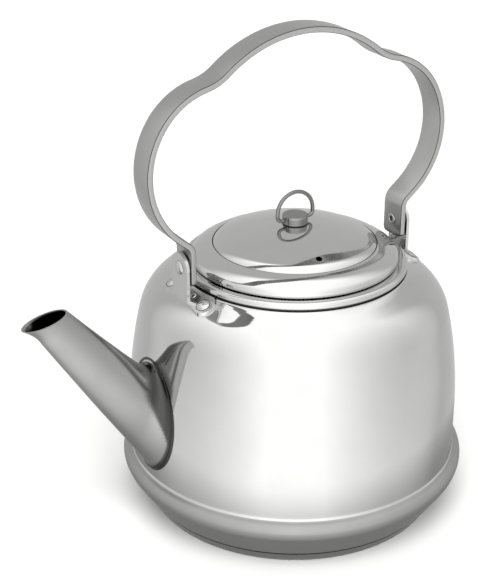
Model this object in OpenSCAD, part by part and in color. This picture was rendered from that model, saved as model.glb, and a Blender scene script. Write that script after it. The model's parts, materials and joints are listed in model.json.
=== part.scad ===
// Camping kettle: a thin steel body with a bulged foot and a bonded base, a straight oval
// spout, a flat bail that swings between two riveted ears, and a lift-off lid whose wire
// ring turns in a small stud. Millimetres, +Z up. The origin is the centre of the resting
// face. The spout points along -X, and the bail stands in the XZ plane.

/* [Sheet and joints] */
// Thickness of the body, lid and spout sheet
sheet_t = 0.8; // [0.6:0.1:1.2]
// Running clearance between parts that turn on each other, on the radius
turn_clear = 0.05; // [0.02:0.01:0.10]
// Clearance between faces that pass each other
face_clear = 0.1; // [0.05:0.05:0.2]
// Clearance on the diameter where a rivet fills its hole
rivet_ease = 0.1; // [0.05:0.05:0.2]

/* [Base] */
// How far the base disc's top edge lies inside the bulge
base_inset = 11; // [10.5:0.25:12]
// How much narrower the resting face is than the base disc's top edge, on the radius
base_taper = 2.65; // [2:0.05:4]
// Height of the bonded base
base_h = 6.5; // [5:0.5:8]
// Thickness of the steel cap round the base core
cap_t = 0.6; // [0.4:0.1:1]
// Groove between the cap's edge and the body
cap_groove = 0.5; // [0.3:0.1:0.8]

/* [Body] */
// Radius of the straight part of the wall
wall_r = 85.4; // [84.5:0.1:86]
// How far the bulge above the base stands out from the wall
bulge_out = 4.6; // [4:0.1:5.5]
// Height of the bulge's widest line above the base
bulge_rise = 18.1; // [17:0.1:19]
// Height at which the wall starts to draw in
wall_z = 53; // [50:1:56]
// Radius of the long arc of the wall
wall_arc_r = 230; // [210:5:260]
// Height at which the wall turns into the shoulder
shoulder_z = 106; // [102:1:108]
// Radius of the shoulder's turn
shoulder_arc_r = 26; // [25:0.5:27]
// Slope of the flat part of the shoulder, from level, in degrees
shoulder_slope = 28; // [24:1:30]

/* [Neck] */
// Radius over the rolled neck
neck_r = 57.35; // [56.5:0.25:58]
// Radius of the roll's cross section
neck_roll_r = 4.35; // [3.5:0.25:4.5]
// Straight rise between the shoulder and the roll
neck_rise = 0.8; // [0.4:0.1:1.5]
// Width of the flat on top of the neck, between the roll and the mouth's corner
neck_flat = 1.1; // [0.6:0.1:2]
// Radius of the mouth's corner
lip_corner = 1.1; // [0.9:0.1:1.6]
// Depth of the mouth's turned-in lip
mouth_lip = 7; // [5:0.5:9]

/* [Spout] */
// Distance from the wall to the middle of the spout's mouth
spout_run = 49.7; // [45:0.1:55]
// Height of the middle of the spout's mouth
spout_top = 129.9; // [124:0.1:134]
// Climb of the spout's axis, from level, in degrees
spout_climb = 52.8; // [50:0.2:54]
// Half height of the tube at its mouth, square to its axis
spout_mouth_a = 9.2; // [8:0.1:10]
// Half width of the tube at its mouth
spout_mouth_b = 6; // [5.5:0.1:8]
// Half height of the tube at the wall, square to its axis
spout_root_a = 17; // [15.5:0.1:17.5]
// Half width of the tube at the wall
spout_root_b = 15.6; // [14.5:0.1:16.5]
// Radius of the flare that meets the wall
spout_flare = 7; // [4:0.5:8]
// How far the pouring lip turns out
lip_turn = 3.4; // [2:0.1:4]
// Slope of the mouth's plane, from level, in degrees
mouth_slope = 13; // [8:0.5:16]
// Half width of the opening through the wall
port_r = 13; // [10:0.5:13.5]
// Height of the opening's straight sides
port_flat = 22; // [14:1:24]

/* [Bail] */
// Height of the bail's pivots above the neck
pivot_rise = 8.02; // [6.5:0.02:10]
// Width of the strap
strap_w = 15; // [13:0.5:16]
// Thickness of the strap
strap_t = 3; // [2.5:0.1:3.2]
// Gap between the neck and the inner faces of the strap's ends
strap_gap = 2.95; // [2.2:0.05:5]
// Length of strap that stands straight above the pivot
strap_rise = 7.94; // [4:0.02:12]
// Length of the straight run between the bail's side and the bend above the ear
side_run = 4.1; // [1:0.1:8]
// Radius of the raised grip
grip_arc_r = 66.4; // [62:0.2:70]
// Radius of the hollow beside the grip
hollow_arc_r = 26.2; // [22:0.2:30]
// Radius of the bail's shoulder
bail_arc_r = 37.6; // [36:0.2:40]
// Radius of the bail's side
side_arc_r = 42.9; // [40:0.2:46]
// Radius of the bend above each ear
ear_bend_r = 7; // [5:0.5:9]
// Length of strap below the pivot
strap_tail = 8.6; // [7:0.2:9.2]
// Corner radius of the strap's ends
tail_corner = 2.5; // [1.5:0.5:4]

/* [Ears] */
// Thickness of the ears
ear_t = 1.6; // [1.2:0.1:2]
// Width of the upright tab
ear_w = 15.4; // [13:0.2:17]
// Thickness of the wear washers at the pivots
washer_t = 0.7; // [0.5:0.1:1]
// Diameter of the wear washers
washer_d = 11; // [9:0.5:12]
// Half length of the foot plate along the shoulder
foot_reach = 21; // [19:0.5:23]
// Width of the foot plate
foot_w = 10; // [9:0.5:11]
// Diameter of the pivot rivets
pivot_d = 4.4; // [4:0.1:5]
// Diameter of the pivot rivets' domed heads
pivot_head_d = 7.4; // [7:0.1:9]
// Diameter of the hole in the tubular end of the pivot rivets
pivot_hole_d = 2.8; // [2:0.1:3]
// Distance of the foot rivets from the middle of the ear
rivet_y = 15.5; // [14.5:0.1:16.5]
// Diameter of the foot rivets' heads
rivet_head_d = 6.8; // [6:0.1:7.4]
// Diameter of the foot rivets' shanks
rivet_d = 3.6; // [3:0.1:4]
// Distance of the small tack rivets from the middle of the ear
tack_y = 5.8; // [5:0.1:6.5]
// Diameter of the tack rivets' heads
tack_head_d = 3.6; // [3:0.1:4]
// Diameter of the tack rivets' shanks
tack_d = 2.2; // [1.8:0.1:2.4]
// Diameter of the small hole below the pivot of the back ear
ear_hole_d = 2.2; // [1.6:0.1:3]
// Distance of that hole below the pivot
ear_hole_drop = 10.9; // [10.5:0.1:11.5]

/* [Lid] */
// How far the lid's rim laps over the mouth's edge
lid_lap = 1.6; // [1.2:0.1:2.2]
// Height of the rim's edge above the rolled neck
lid_gap = 0.3; // [0.1:0.05:0.5]
// Width of the flange between the rim and the crease round the dome
flange_w = 9.77; // [8.5:0.01:12]
// Radius of the dome's arc
dome_arc_r = 102; // [98:1:110]
// Width of the dome's steeper edge, inside the crease
edge_w = 4.93; // [4:0.01:8]
// Slope of the dome's steeper edge, from level, in degrees
edge_slope = 28; // [27:0.5:30]
// Slope of the flange round the dome, from level, in degrees
flange_slope = 19; // [16:0.5:20]
// Radius of the turn at the flange's outer edge
flange_arc_r = 4.9; // [4:0.1:5.5]
// Diameter of the steam vent
vent_d = 3.2; // [2:0.1:4]
// Distance of the steam vent inside the start of the dome's steeper edge
vent_inset = 3.7; // [2.5:0.1:10]
// Direction of the steam vent, from +X, in degrees
vent_dir = 258; // [0:1:359]
// Clearance between the locating collar and the mouth
collar_clear = 0.5; // [0.3:0.1:0.8]
// Depth of the locating collar below the rim's edge
collar_depth = 6; // [4:0.5:8]

/* [Stud and ring] */
// Diameter of the stud
stud_d = 12.9; // [11:0.1:14]
// Height of the stud above the lid
stud_h = 4.8; // [4.4:0.1:6]
// Diameter of the stud's tail through the lid
stud_tail_d = 5; // [4:0.1:6]
// Diameter of the ring's wire
wire_d = 2; // [1.6:0.1:2.2]
// Width over the ring
ring_w = 22.6; // [20:0.2:25]
// Height of the ring's top above its pivot
ring_h = 15.1; // [14:0.1:17]
// Radius of the ring's lower corners
ring_corner = 2.4; // [2:0.1:3]
// How deep each end of the ring lies in the stud
ring_bite = 2.8; // [2:0.1:3.5]
// Thickness of the washer under the lid, and of the stud tail's riveted end
stud_washer_t = 1; // [0.6:0.1:1.5]

/* [Hidden] */

$fn = 96;
STEEL = "silver";
WORN = "darkgray";
ALLOY = "gainsboro";
EPS = 0.01;
// How far a cut runs past the face that it opens
CUT = 1;
// Play left under a flat rivet face on curved sheet
SEAT = 0.05;

// ---- outline helpers -------------------------------------------------------

// Points of an arc about c, from angle a0 to angle a1, without its first point
function arc(c, r, a0, a1, n) =
    [for (i = [1:n]) c + r * [cos(a0 + (a1 - a0) * i / n), sin(a0 + (a1 - a0) * i / n)]];

function unit(v) = v / norm(v);
function left_of(v) = [-v[1], v[0]];

// A path moved sideways by t, to its left
function beside(p, t) =
    [for (i = [0:len(p) - 1])
        let (a = unit(p[min(i + 1, len(p) - 1)] - p[min(i, len(p) - 2)]),
             b = unit(p[max(i, 1)] - p[max(i - 1, 0)]),
             m = unit(left_of(a) + left_of(b)))
        p[i] + t * m / (m * left_of(a))];

function reversed(p) = [for (i = [len(p) - 1:-1:0]) p[i]];

// A closed outline of the sheet whose outer face follows the path
function sheet(p, t) = concat(p, reversed(beside(p, t)));

// ---- body outline ----------------------------------------------------------

// Slope of the bulge's lower side, from upright
bulge_lean = 33;
bulge_low_r = 8;
bulge_top_r = 5;
bulge_fillet = 2;
pan_corner = 1.2;
cap_corner = 1.6;
bulge_r = wall_r + bulge_out;
base_r = bulge_r - base_inset;
foot_r = base_r - base_taper;
core_r = foot_r - cap_t - cap_corner;
bulge_z = base_h + bulge_rise;
bulge_c = [bulge_r - bulge_low_r, bulge_z];
bulge_low = bulge_c + bulge_low_r * [cos(bulge_lean), -sin(bulge_lean)];
pan_edge = bulge_low - (bulge_low[1] - base_h - pan_corner) * [tan(bulge_lean), 1];
// Centre of the bulge's upper turn, and of the fillet between it and the wall
top_c = [bulge_r - bulge_top_r, bulge_z];
fillet_c = [wall_r + bulge_fillet,
            bulge_z + sqrt(pow(bulge_top_r + bulge_fillet, 2) - pow(wall_r + bulge_fillet - top_c[0], 2))];
fillet_a = atan2(fillet_c[1] - top_c[1], fillet_c[0] - top_c[0]);

wall_c = [wall_r - wall_arc_r, wall_z];
wall_turn = asin((shoulder_z - wall_z) / wall_arc_r);
shoulder_c = wall_c + (wall_arc_r - shoulder_arc_r) * [cos(wall_turn), sin(wall_turn)];
shoulder_end = shoulder_c + shoulder_arc_r * [sin(shoulder_slope), cos(shoulder_slope)];
cone_drop = tan(shoulder_slope);
neck_z = shoulder_end[1] + (shoulder_end[0] - neck_r) * cone_drop;
roll_c = [neck_r - neck_roll_r, neck_z + neck_rise];
crest_z = roll_c[1] + neck_roll_r;
mouth_r = roll_c[0] - neck_flat - lip_corner;

// Radius of the wall's outer face at height z
function wall_at(z) =
    z < wall_z ? wall_r : wall_c[0] + sqrt(pow(wall_arc_r, 2) - pow(z - wall_z, 2));

// Height of the shoulder's cone at radius r
function cone_at(r) = shoulder_end[1] + (shoulder_end[0] - r) * cone_drop;

pan_path = concat(
    [[0, base_h], [pan_edge[0] - pan_corner, base_h], pan_edge],
    [bulge_low],
    arc(bulge_c, bulge_low_r, -bulge_lean, 0, 6),
    arc(top_c, bulge_top_r, 0, fillet_a, 8),
    arc(fillet_c, bulge_fillet, 180 + fillet_a, 180, 6));
shoulder_path = concat(
    arc(shoulder_c, shoulder_arc_r, wall_turn, 90 - shoulder_slope, 14),
    [[neck_r, neck_z]]);
mouth_path = concat(
    [roll_c + [neck_roll_r, 0]],
    arc(roll_c, neck_roll_r, 0, 90, 12),
    [[mouth_r + lip_corner, crest_z]],
    arc([mouth_r + lip_corner, crest_z - lip_corner], lip_corner, 90, 180, 5),
    [[mouth_r, crest_z - mouth_lip]]);
body_path = concat(
    pan_path,
    [[wall_r, wall_z]],
    arc(wall_c, wall_arc_r, 0, wall_turn, 10),
    shoulder_path,
    mouth_path);

// ---- spout -----------------------------------------------------------------

SIDES = 40;
axis_dir = 180 - spout_climb;
spout_len = spout_run / cos(spout_climb);
// Length of tube that turns out into the lip
lip_zone = 9;
// Distances from the wall between which the spout stops following its curve
hug_from = 1;
hug_to = 12;
// How much sooner the sections lean over than an even turn would
lean_early = 0.6;
// Shares of the root's flare and of the lip's turn that widen the tube's other direction
flare_share = 0.3;
lip_share_b = 0.2;

// How far a fillet of radius r stands out at distance g from the wall
function flare(g, r) = g >= r ? 0 : r * (1 - sqrt(1 - pow((r - g) / r, 2)));

// How far along the mouth's last stretch a section lies: 1 at the rim, 0 below it
function lip_share(g) =
    let (s = (spout_run - g) / cos(spout_climb)) s > lip_zone ? 0 : pow(1 - s / lip_zone, 2);

// How closely a section follows the wall's curve: 1 at the wall, 0 beyond hug_to
function hug_share(g) =
    let (q = min(1, max(0, (hug_to - g) / (hug_to - hug_from)))) q * q * (3 - 2 * q);

// Direction of a section, from level: upright at the wall, mouth_slope at the mouth
function section_turn(q) = 90 - (90 - mouth_slope) * q * (1 + lean_early * (1 - q));

// One section of the spout, g outboard of the wall, drawn in by d on every side
function spout_ring(g, d) =
    let (s = (spout_run - g) / cos(spout_climb),
         turn = section_turn(min(1, max(0, g / spout_run))),
         dir = [cos(turn), sin(turn)],
         skew = abs(sin(turn - axis_dir)),
         out = flare(max(g, 0), spout_flare),
         lip = lip_turn * lip_share(g),
         a = (spout_mouth_a + (spout_root_a - spout_mouth_a) * s / spout_len - d) / skew
             + flare_share * out + lip / 2,
         b = spout_mouth_b + (spout_root_b - spout_mouth_b) * s / spout_len - d
             + out + lip_share_b * lip,
         mid = [-(wall_r + g), spout_top - (spout_run - g) * tan(spout_climb)]
               - dir * lip / 2,
         hug = hug_share(g))
    [for (i = [0:SIDES - 1])
        let (t = 360 * i / SIDES,
             y = b * cos(t),
             p = mid + dir * a * sin(t))
        [p[0] + hug * (wall_r - sqrt(pow(wall_at(p[1]), 2) - y * y)), y, p[1]]];

root_rings = 6;
tube_rings = 5;
lip_rings = 6;
lip_run = lip_zone * cos(spout_climb);
ring_steps = concat([for (k = [0:root_rings]) spout_flare * (1 - cos(90 * k / root_rings))],
                    [for (k = [0:tube_rings - 1])
                        hug_to + (spout_run - hug_to - lip_run) * k / tube_rings],
                    [for (k = [0:lip_rings]) spout_run - lip_run * (1 - k / lip_rings)]);

// ---- bail ------------------------------------------------------------------

grip_angle = 39.45;
hollow_angle = 12.36;
shoulder_angle = 57.05;

// Walks an arc from point p, heading h0 to h1 degrees below +X; r < 0 bends outward
function bend(p, r, h0, h1, n) =
    let (c = p + r * [-sin(h0), -cos(h0)])
    [for (i = [1:n]) let (h = h0 + (h1 - h0) * i / n) c + r * [sin(h), cos(h)]];
function last(p) = p[len(p) - 1];

pivot_z = crest_z + pivot_rise;
strap_in = neck_r + strap_gap;
end_x = strap_in + strap_t / 2;
// The middle line is walked from the top of the grip, which stands at height 0 here
grip_arc = bend([0, 0], grip_arc_r, 0, grip_angle, 14);
hollow_arc = bend(last(grip_arc), -hollow_arc_r, grip_angle, hollow_angle, 8);
corner_arc = bend(last(hollow_arc), bail_arc_r, hollow_angle, shoulder_angle, 12);
// The side turns just so far that the straight run and the last bend end upright at end_x
side_reach = end_x + ear_bend_r - last(corner_arc)[0] + side_arc_r * sin(shoulder_angle);
side_angle = 180 - asin(side_reach / norm([side_arc_r + ear_bend_r, side_run]))
             - atan2(side_run, side_arc_r + ear_bend_r);
side_arc = bend(last(corner_arc), side_arc_r, shoulder_angle, side_angle, 20);
run_end = last(side_arc) + side_run * [cos(side_angle), -sin(side_angle)];
tail_arc = bend(run_end, -ear_bend_r, side_angle, 90, 10);
grip_z = pivot_z + strap_rise - last(tail_arc)[1];
half_path = [for (p = concat([[0, 0]], grip_arc, hollow_arc, corner_arc, side_arc, tail_arc,
                             [[end_x, last(tail_arc)[1] - strap_rise - strap_tail]]))
                 p + [0, grip_z]];
strap_path = concat([for (i = [len(half_path) - 1:-1:1]) [-half_path[i][0], half_path[i][1]]],
                    half_path);

// ---- ears ------------------------------------------------------------------

ear_in = strap_in + strap_t + washer_t + 2 * face_clear;
ear_out = ear_in + ear_t;
foot_mid = ear_out - foot_w / 2;
// How much wider a rivet's spread tail is than its shank
tail_spread = 1.6;
// Gap between the foot plate's inner edge and the neck
neck_gap = 0.4;
// How much wider a pivot rivet's rolled end is than its shank
roll_spread = 1.2;

// Places a child on the shoulder at [x, y], with its +Z square to the cone
module on_shoulder(x, y) {
    r = norm([x, y]);
    translate([x, y, cone_at(r)])
        rotate([0, 0, atan2(y, x)])
            rotate([0, shoulder_slope, 0])
                children();
}

module rivet_sites(side, reach) {
    for (s = [-1, 1])
        on_shoulder(side * foot_mid, s * reach) children();
}

// A round rivet through the foot plate and the body sheet, its dome up and its tail inside
module sheet_rivet(shank, head, rise, tail_t) {
    low = -sheet_t - SEAT - tail_t;
    translate([0, 0, low]) cylinder(h = ear_t - low + EPS, d = shank);
    translate([0, 0, low]) cylinder(h = tail_t, d = shank + tail_spread);
    translate([0, 0, ear_t]) dome(head, rise);
}

// Holes for both pairs of rivets, through the foot plate and the body sheet
module rivet_holes(side) {
    deep = sheet_t + ear_t + 4 * CUT;
    rivet_sites(side, rivet_y)
        translate([0, 0, -sheet_t - 2 * CUT]) cylinder(h = deep, d = rivet_d + rivet_ease);
    rivet_sites(side, tack_y)
        translate([0, 0, -sheet_t - 2 * CUT]) cylinder(h = deep, d = tack_d + rivet_ease);
}

// A low dome of diameter d and height h on the XY plane
module dome(d, h) {
    r = (d * d / 4 + h * h) / (2 * h);
    rotate_extrude()
        polygon(concat([[0, 0]], [[d / 2, 0]],
                       arc([0, h - r], r, asin((r - h) / r), 90, 8)));
}

module foot_outline(side) {
    end_r = foot_w / 2;
    square_y = foot_reach - end_r;
    translate([side * foot_mid, 0]) {
        square([foot_w, 2 * square_y], center = true);
        for (s = [-1, 1])
            translate([0, s * square_y]) circle(r = end_r);
    }
}

module ear(side, with_hole) {
    difference() {
        union() {
            // Foot plate, pressed to the shoulder's curve and cut back round the neck
            intersection() {
                rotate_extrude() polygon(sheet(shoulder_path, -ear_t));
                translate([0, 0, shoulder_z])
                    linear_extrude(height = pivot_z - shoulder_z)
                        difference() {
                            foot_outline(side);
                            circle(r = neck_r + neck_gap);
                        }
            }
            // Upright tab with a round top
            difference() {
                translate([side * (ear_in + ear_t / 2), 0, 0])
                    rotate([0, 90, 0])
                        linear_extrude(height = ear_t, center = true) {
                            translate([-pivot_z, 0]) circle(d = ear_w);
                            translate([-pivot_z, -ear_w / 2]) square([pivot_z - shoulder_z, ear_w]);
                        }
                rotate_extrude()
                    polygon(concat([[0, 0]], [[wall_at(shoulder_z), 0]],
                                   beside(shoulder_path, -EPS), [[0, neck_z]]));
            }
        }
        translate([side * (ear_in - CUT), 0, pivot_z])
            rotate([0, side * 90, 0]) cylinder(h = ear_t + 2 * CUT, d = pivot_d + 2 * turn_clear);
        rivet_holes(side);
        if (with_hole)
            translate([side * (ear_in - CUT), tack_y, pivot_z - ear_hole_drop])
                rotate([0, side * 90, 0]) cylinder(h = ear_t + 2 * CUT, d = ear_hole_d);
    }
}

// A rivet along X: dome outside the ear, shank through ear, washer and strap, and a rolled
// tubular end on the strap's inner face
module pivot_rivet(side) {
    roll_t = 0.7;
    roll_d = pivot_d + roll_spread;
    head_rise = 1.7;
    shank_in = strap_in - roll_t - face_clear;
    shank = ear_out + face_clear - shank_in;
    color(WORN)
    translate([0, 0, pivot_z])
        rotate([0, side * 90, 0]) {
            difference() {
                union() {
                    translate([0, 0, shank_in]) cylinder(h = shank, d = pivot_d);
                    translate([0, 0, shank_in]) cylinder(h = roll_t, d = roll_d);
                }
                translate([0, 0, shank_in - CUT]) cylinder(h = strap_t, d = pivot_hole_d);
            }
            translate([0, 0, ear_out + face_clear]) dome(pivot_head_d, head_rise);
        }
}

// ---- sub-parts -------------------------------------------------------------

module body_shell() {
    color(STEEL)
    difference() {
        rotate_extrude() polygon(sheet(body_path, sheet_t));
        spout_port();
        for (side = [-1, 1]) rivet_holes(side);
    }
}

// The opening through the wall, inside the spout's root
module spout_port() {
    root_z = spout_top - spout_run * tan(spout_climb);
    translate([-wall_r - CUT, 0, root_z])
        rotate([0, 90, 0])
            linear_extrude(height = wall_r / 2) {
                for (s = [-1, 1])
                    translate([s * port_flat / 2, 0]) circle(r = port_r);
                square([port_flat, 2 * port_r], center = true);
            }
}

module base_core() {
    color(ALLOY)
        translate([0, 0, cap_t]) cylinder(h = base_h - cap_t, r = core_r);
}

module base_cap() {
    top_z = base_h - cap_groove;
    outer = concat([[0, 0], [foot_r - cap_corner, 0]],
                   arc([foot_r - cap_corner, cap_corner], cap_corner, -90, -15, 6),
                   [[base_r, top_z]]);
    color(STEEL)
        rotate_extrude()
            polygon(concat(outer, [[core_r, top_z], [core_r, cap_t], [0, cap_t]]));
}

module spout() {
    rings = concat([for (g = ring_steps) spout_ring(g, 0)],
                   [for (g = reversed(ring_steps)) spout_ring(g, sheet_t)]);
    n = len(rings);
    faces = [for (j = [0:n - 1]) for (i = [0:SIDES - 1])
                let (k = (j + 1) % n, m = (i + 1) % SIDES)
                for (f = [[j * SIDES + i, k * SIDES + i, k * SIDES + m],
                          [j * SIDES + i, k * SIDES + m, j * SIDES + m]]) f];
    color(WORN)
        polyhedron(points = [for (r = rings) for (p = r) p], faces = faces, convexity = 6);
}

module front_ear() {
    color(STEEL) ear(-1, false);
}

module back_ear() {
    color(STEEL) ear(1, true);
}

module foot_rivets(side) {
    color(WORN)
        rivet_sites(side, rivet_y)
            sheet_rivet(rivet_d, rivet_head_d, rivet_head_d / 4, rivet_d / 4);
}

module tack_rivets(side) {
    color(WORN)
        rivet_sites(side, tack_y)
            sheet_rivet(tack_d, tack_head_d, tack_head_d / 4, tack_d / 4);
}

module pivot_washer(side) {
    color(WORN)
        translate([side * (strap_in + strap_t + face_clear), 0, pivot_z])
            rotate([0, side * 90, 0])
                difference() {
                    cylinder(h = washer_t, d = washer_d);
                    translate([0, 0, -CUT])
                        cylinder(h = washer_t + 2 * CUT, d = pivot_d + 2 * turn_clear);
                }
}

// Side outline of the strap, with its lower corners rounded
module strap_face() {
    low = pivot_z - strap_tail;
    half = strap_w / 2 - tail_corner;
    translate([-strap_w / 2, low + tail_corner]) square([strap_w, grip_z]);
    translate([-half, low]) square([2 * half, tail_corner + EPS]);
    for (s = [-1, 1])
        translate([s * half, low + tail_corner]) circle(r = tail_corner);
}

module bail_strap() {
    wide = max([for (p = half_path) p[0]]) + strap_t;
    color(WORN)
    difference() {
        intersection() {
            rotate([90, 0, 0])
                linear_extrude(height = strap_w, center = true)
                    polygon(concat(beside(strap_path, strap_t / 2),
                                   reversed(beside(strap_path, -strap_t / 2))));
            rotate([90, 0, 90]) linear_extrude(height = 2 * wide, center = true) strap_face();
        }
        for (side = [-1, 1])
            translate([side * (strap_in - CUT), 0, pivot_z])
                rotate([0, side * 90, 0])
                    cylinder(h = strap_t + 2 * CUT, d = pivot_d + 2 * turn_clear);
    }
}

// ---- lid -------------------------------------------------------------------

rim_z = crest_z + lid_gap;
lid_r = mouth_r + lid_lap;
rim_flat = 1.25;
flange_c = [lid_r - flange_arc_r, rim_z + rim_flat];
flange_start = flange_c + flange_arc_r * [sin(flange_slope), cos(flange_slope)];
// The crease, where the flange and the dome's steeper edge meet
crease_r = lid_r - flange_w;
crease = [crease_r, flange_start[1] + (flange_start[0] - crease_r) * tan(flange_slope)];
dome_r = crease_r - edge_w;
edge_roll_r = 15;
dome_slope = asin(dome_r / dome_arc_r);
edge_start_r = (dome_arc_r - edge_roll_r) * sin(dome_slope) + edge_roll_r * sin(edge_slope);
edge_start = [edge_start_r, crease[1] + (crease_r - edge_start_r) * tan(edge_slope)];
edge_roll_c = edge_start - edge_roll_r * [sin(edge_slope), cos(edge_slope)];
dome_c = edge_roll_c - (dome_arc_r - edge_roll_r) * [sin(dome_slope), cos(dome_slope)];
// The stud stands on a flat pad at the middle of the dome
pad_margin = 0.4;
pad_r = stud_d / 2 + pad_margin;
pad_slope = asin(pad_r / dome_arc_r);
stud_z = dome_c[1] + sqrt(pow(dome_arc_r, 2) - pow(pad_r, 2));
under_z = stud_z - sheet_t;
vent_reach = dome_r - vent_inset;
// Outer face of the lid from its rim inward to the pad
lid_path = concat(
    [[lid_r, rim_z]],
    [flange_c + [flange_arc_r, 0]],
    arc(flange_c, flange_arc_r, 0, 90 - flange_slope, 8),
    [crease],
    [edge_start],
    arc(edge_roll_c, edge_roll_r, 90 - edge_slope, 90 - dome_slope, 4),
    arc(dome_c, dome_arc_r, 90 - dome_slope, 90 - pad_slope, 12),
    [[0, stud_z]]);

module lid_shell() {
    color(STEEL)
    difference() {
        rotate_extrude() polygon(sheet(lid_path, sheet_t));
        rotate([0, 0, vent_dir])
            translate([vent_reach, 0, rim_z]) cylinder(h = stud_z - rim_z + CUT, d = vent_d);
        translate([0, 0, under_z - CUT])
            cylinder(h = sheet_t + 2 * CUT, d = stud_tail_d + rivet_ease);
    }
}

// Locating collar that keeps the lid in the middle of the mouth
module lid_collar() {
    out_r = mouth_r - collar_clear;
    // The collar stops just under the inside of the flange's turn
    top_z = flange_c[1] + sqrt(pow(flange_arc_r - sheet_t, 2) - pow(out_r - flange_c[0], 2)) - SEAT;
    height = top_z - rim_z + collar_depth;
    color(STEEL)
        translate([0, 0, rim_z - collar_depth])
            difference() {
                cylinder(h = height, r = out_r);
                translate([0, 0, -CUT]) cylinder(h = height + 2 * CUT, r = out_r - sheet_t);
            }
}

ring_z = stud_z + stud_h / 2;
wire_r = wire_d / 2;
ring_x = ring_w / 2 - wire_r;

module lid_stud() {
    edge = 0.5;
    tail_z = under_z - 2 * stud_washer_t;
    color(WORN)
    difference() {
        union() {
            rotate_extrude()
                polygon([[0, stud_z], [stud_d / 2, stud_z], [stud_d / 2, stud_z + stud_h - edge],
                         [stud_d / 2 - edge, stud_z + stud_h], [0, stud_z + stud_h]]);
            translate([0, 0, tail_z]) cylinder(h = stud_z - tail_z + EPS, d = stud_tail_d);
            translate([0, 0, tail_z]) cylinder(h = stud_washer_t, d = stud_tail_d + tail_spread);
        }
        translate([-stud_d, 0, ring_z])
            rotate([0, 90, 0]) cylinder(h = 2 * stud_d, r = wire_r + turn_clear);
    }
}

module stud_washer() {
    color(STEEL)
        translate([0, 0, under_z - stud_washer_t])
            difference() {
                cylinder(h = stud_washer_t, d = stud_d);
                translate([0, 0, -CUT])
                    cylinder(h = stud_washer_t + 2 * CUT, d = stud_tail_d + rivet_ease);
            }
}

// Half torus, corners and ends of round wire, from one blind end in the stud to the other
module lid_ring() {
    crown_z = ring_h - wire_r - ring_x;
    end_x0 = stud_d / 2 - ring_bite;
    color(WORN)
    translate([0, 0, ring_z])
        rotate([90, 0, 0]) {
            translate([0, crown_z, 0])
                rotate_extrude(angle = 180) translate([ring_x, 0]) circle(r = wire_r);
            for (s = [-1, 1]) {
                leg = crown_z - ring_corner;
                if (leg > 0)
                    translate([s * ring_x, ring_corner, 0])
                        rotate([-90, 0, 0]) cylinder(h = leg, r = wire_r);
                translate([s * (ring_x - ring_corner), ring_corner, 0])
                    rotate([0, 0, s > 0 ? -90 : 180])
                        rotate_extrude(angle = 90) translate([ring_corner, 0]) circle(r = wire_r);
                translate([s * end_x0, 0, 0])
                    rotate([0, s * 90, 0])
                        cylinder(h = ring_x - ring_corner - end_x0, r = wire_r);
            }
        }
}

body_shell();
base_core();
base_cap();
spout();
front_ear();
back_ear();
foot_rivets(-1);  // front_foot_rivets
foot_rivets(1);  // back_foot_rivets
tack_rivets(-1);  // front_tack_rivets
tack_rivets(1);  // back_tack_rivets
pivot_rivet(-1);  // front_pivot_rivet
pivot_rivet(1);  // back_pivot_rivet
pivot_washer(-1);  // front_washer
pivot_washer(1);  // back_washer
bail_strap();
lid_shell();
lid_collar();
lid_stud();
stud_washer();
lid_ring();
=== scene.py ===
"""Stove kettle in polished stainless steel, dressed over its CAD frame.

Sizes are millimetres in the CAD frame: +Z up, the origin in the middle of the resting face,
the spout along -X and the bail in the XZ plane.
"""
from __future__ import annotations

import json
import logging
import math
from dataclasses import dataclass
from enum import Enum, IntEnum
from typing import Any, Callable, Sequence

import bmesh
import bpy
from mathutils import Matrix, Vector

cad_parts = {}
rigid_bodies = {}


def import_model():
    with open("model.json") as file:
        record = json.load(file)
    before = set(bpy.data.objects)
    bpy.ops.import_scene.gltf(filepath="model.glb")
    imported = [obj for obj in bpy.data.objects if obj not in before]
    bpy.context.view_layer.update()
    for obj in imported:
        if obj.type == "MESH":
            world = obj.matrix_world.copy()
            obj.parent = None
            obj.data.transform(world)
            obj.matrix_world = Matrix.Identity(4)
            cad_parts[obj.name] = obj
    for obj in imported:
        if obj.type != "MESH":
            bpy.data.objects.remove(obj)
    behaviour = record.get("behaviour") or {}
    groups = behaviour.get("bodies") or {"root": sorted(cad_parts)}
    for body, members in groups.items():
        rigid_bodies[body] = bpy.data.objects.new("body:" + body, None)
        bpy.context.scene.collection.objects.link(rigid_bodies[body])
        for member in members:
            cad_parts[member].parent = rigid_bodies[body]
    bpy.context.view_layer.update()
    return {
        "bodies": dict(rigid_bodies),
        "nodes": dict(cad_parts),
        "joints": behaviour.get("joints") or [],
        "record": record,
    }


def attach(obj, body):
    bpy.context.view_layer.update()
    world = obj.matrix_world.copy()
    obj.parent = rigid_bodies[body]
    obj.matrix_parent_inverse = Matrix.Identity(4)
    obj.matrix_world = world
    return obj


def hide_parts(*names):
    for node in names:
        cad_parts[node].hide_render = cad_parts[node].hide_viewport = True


LOG = logging.getLogger("kettle")
MM = 0.001
CRISP = 38.0  # turn between two faces above which their edge stays crisp, in degrees
TINY = 0.01  # slack where faces are told apart by their place, in millimetres
WIDE = 1.0  # the same where they lie further apart
Point = tuple[float, float]
Piece = bpy.types.Object
Tree = bpy.types.NodeTree
Socket = bpy.types.NodeSocket


# ---- outlines ---------------------------------------------------------------


def polar(centre: Point, radius: float, degrees: float) -> Point:
    """Returns the point at an angle on a circle."""
    turn = math.radians(degrees)
    return (centre[0] + radius * math.cos(turn), centre[1] + radius * math.sin(turn))


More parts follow.
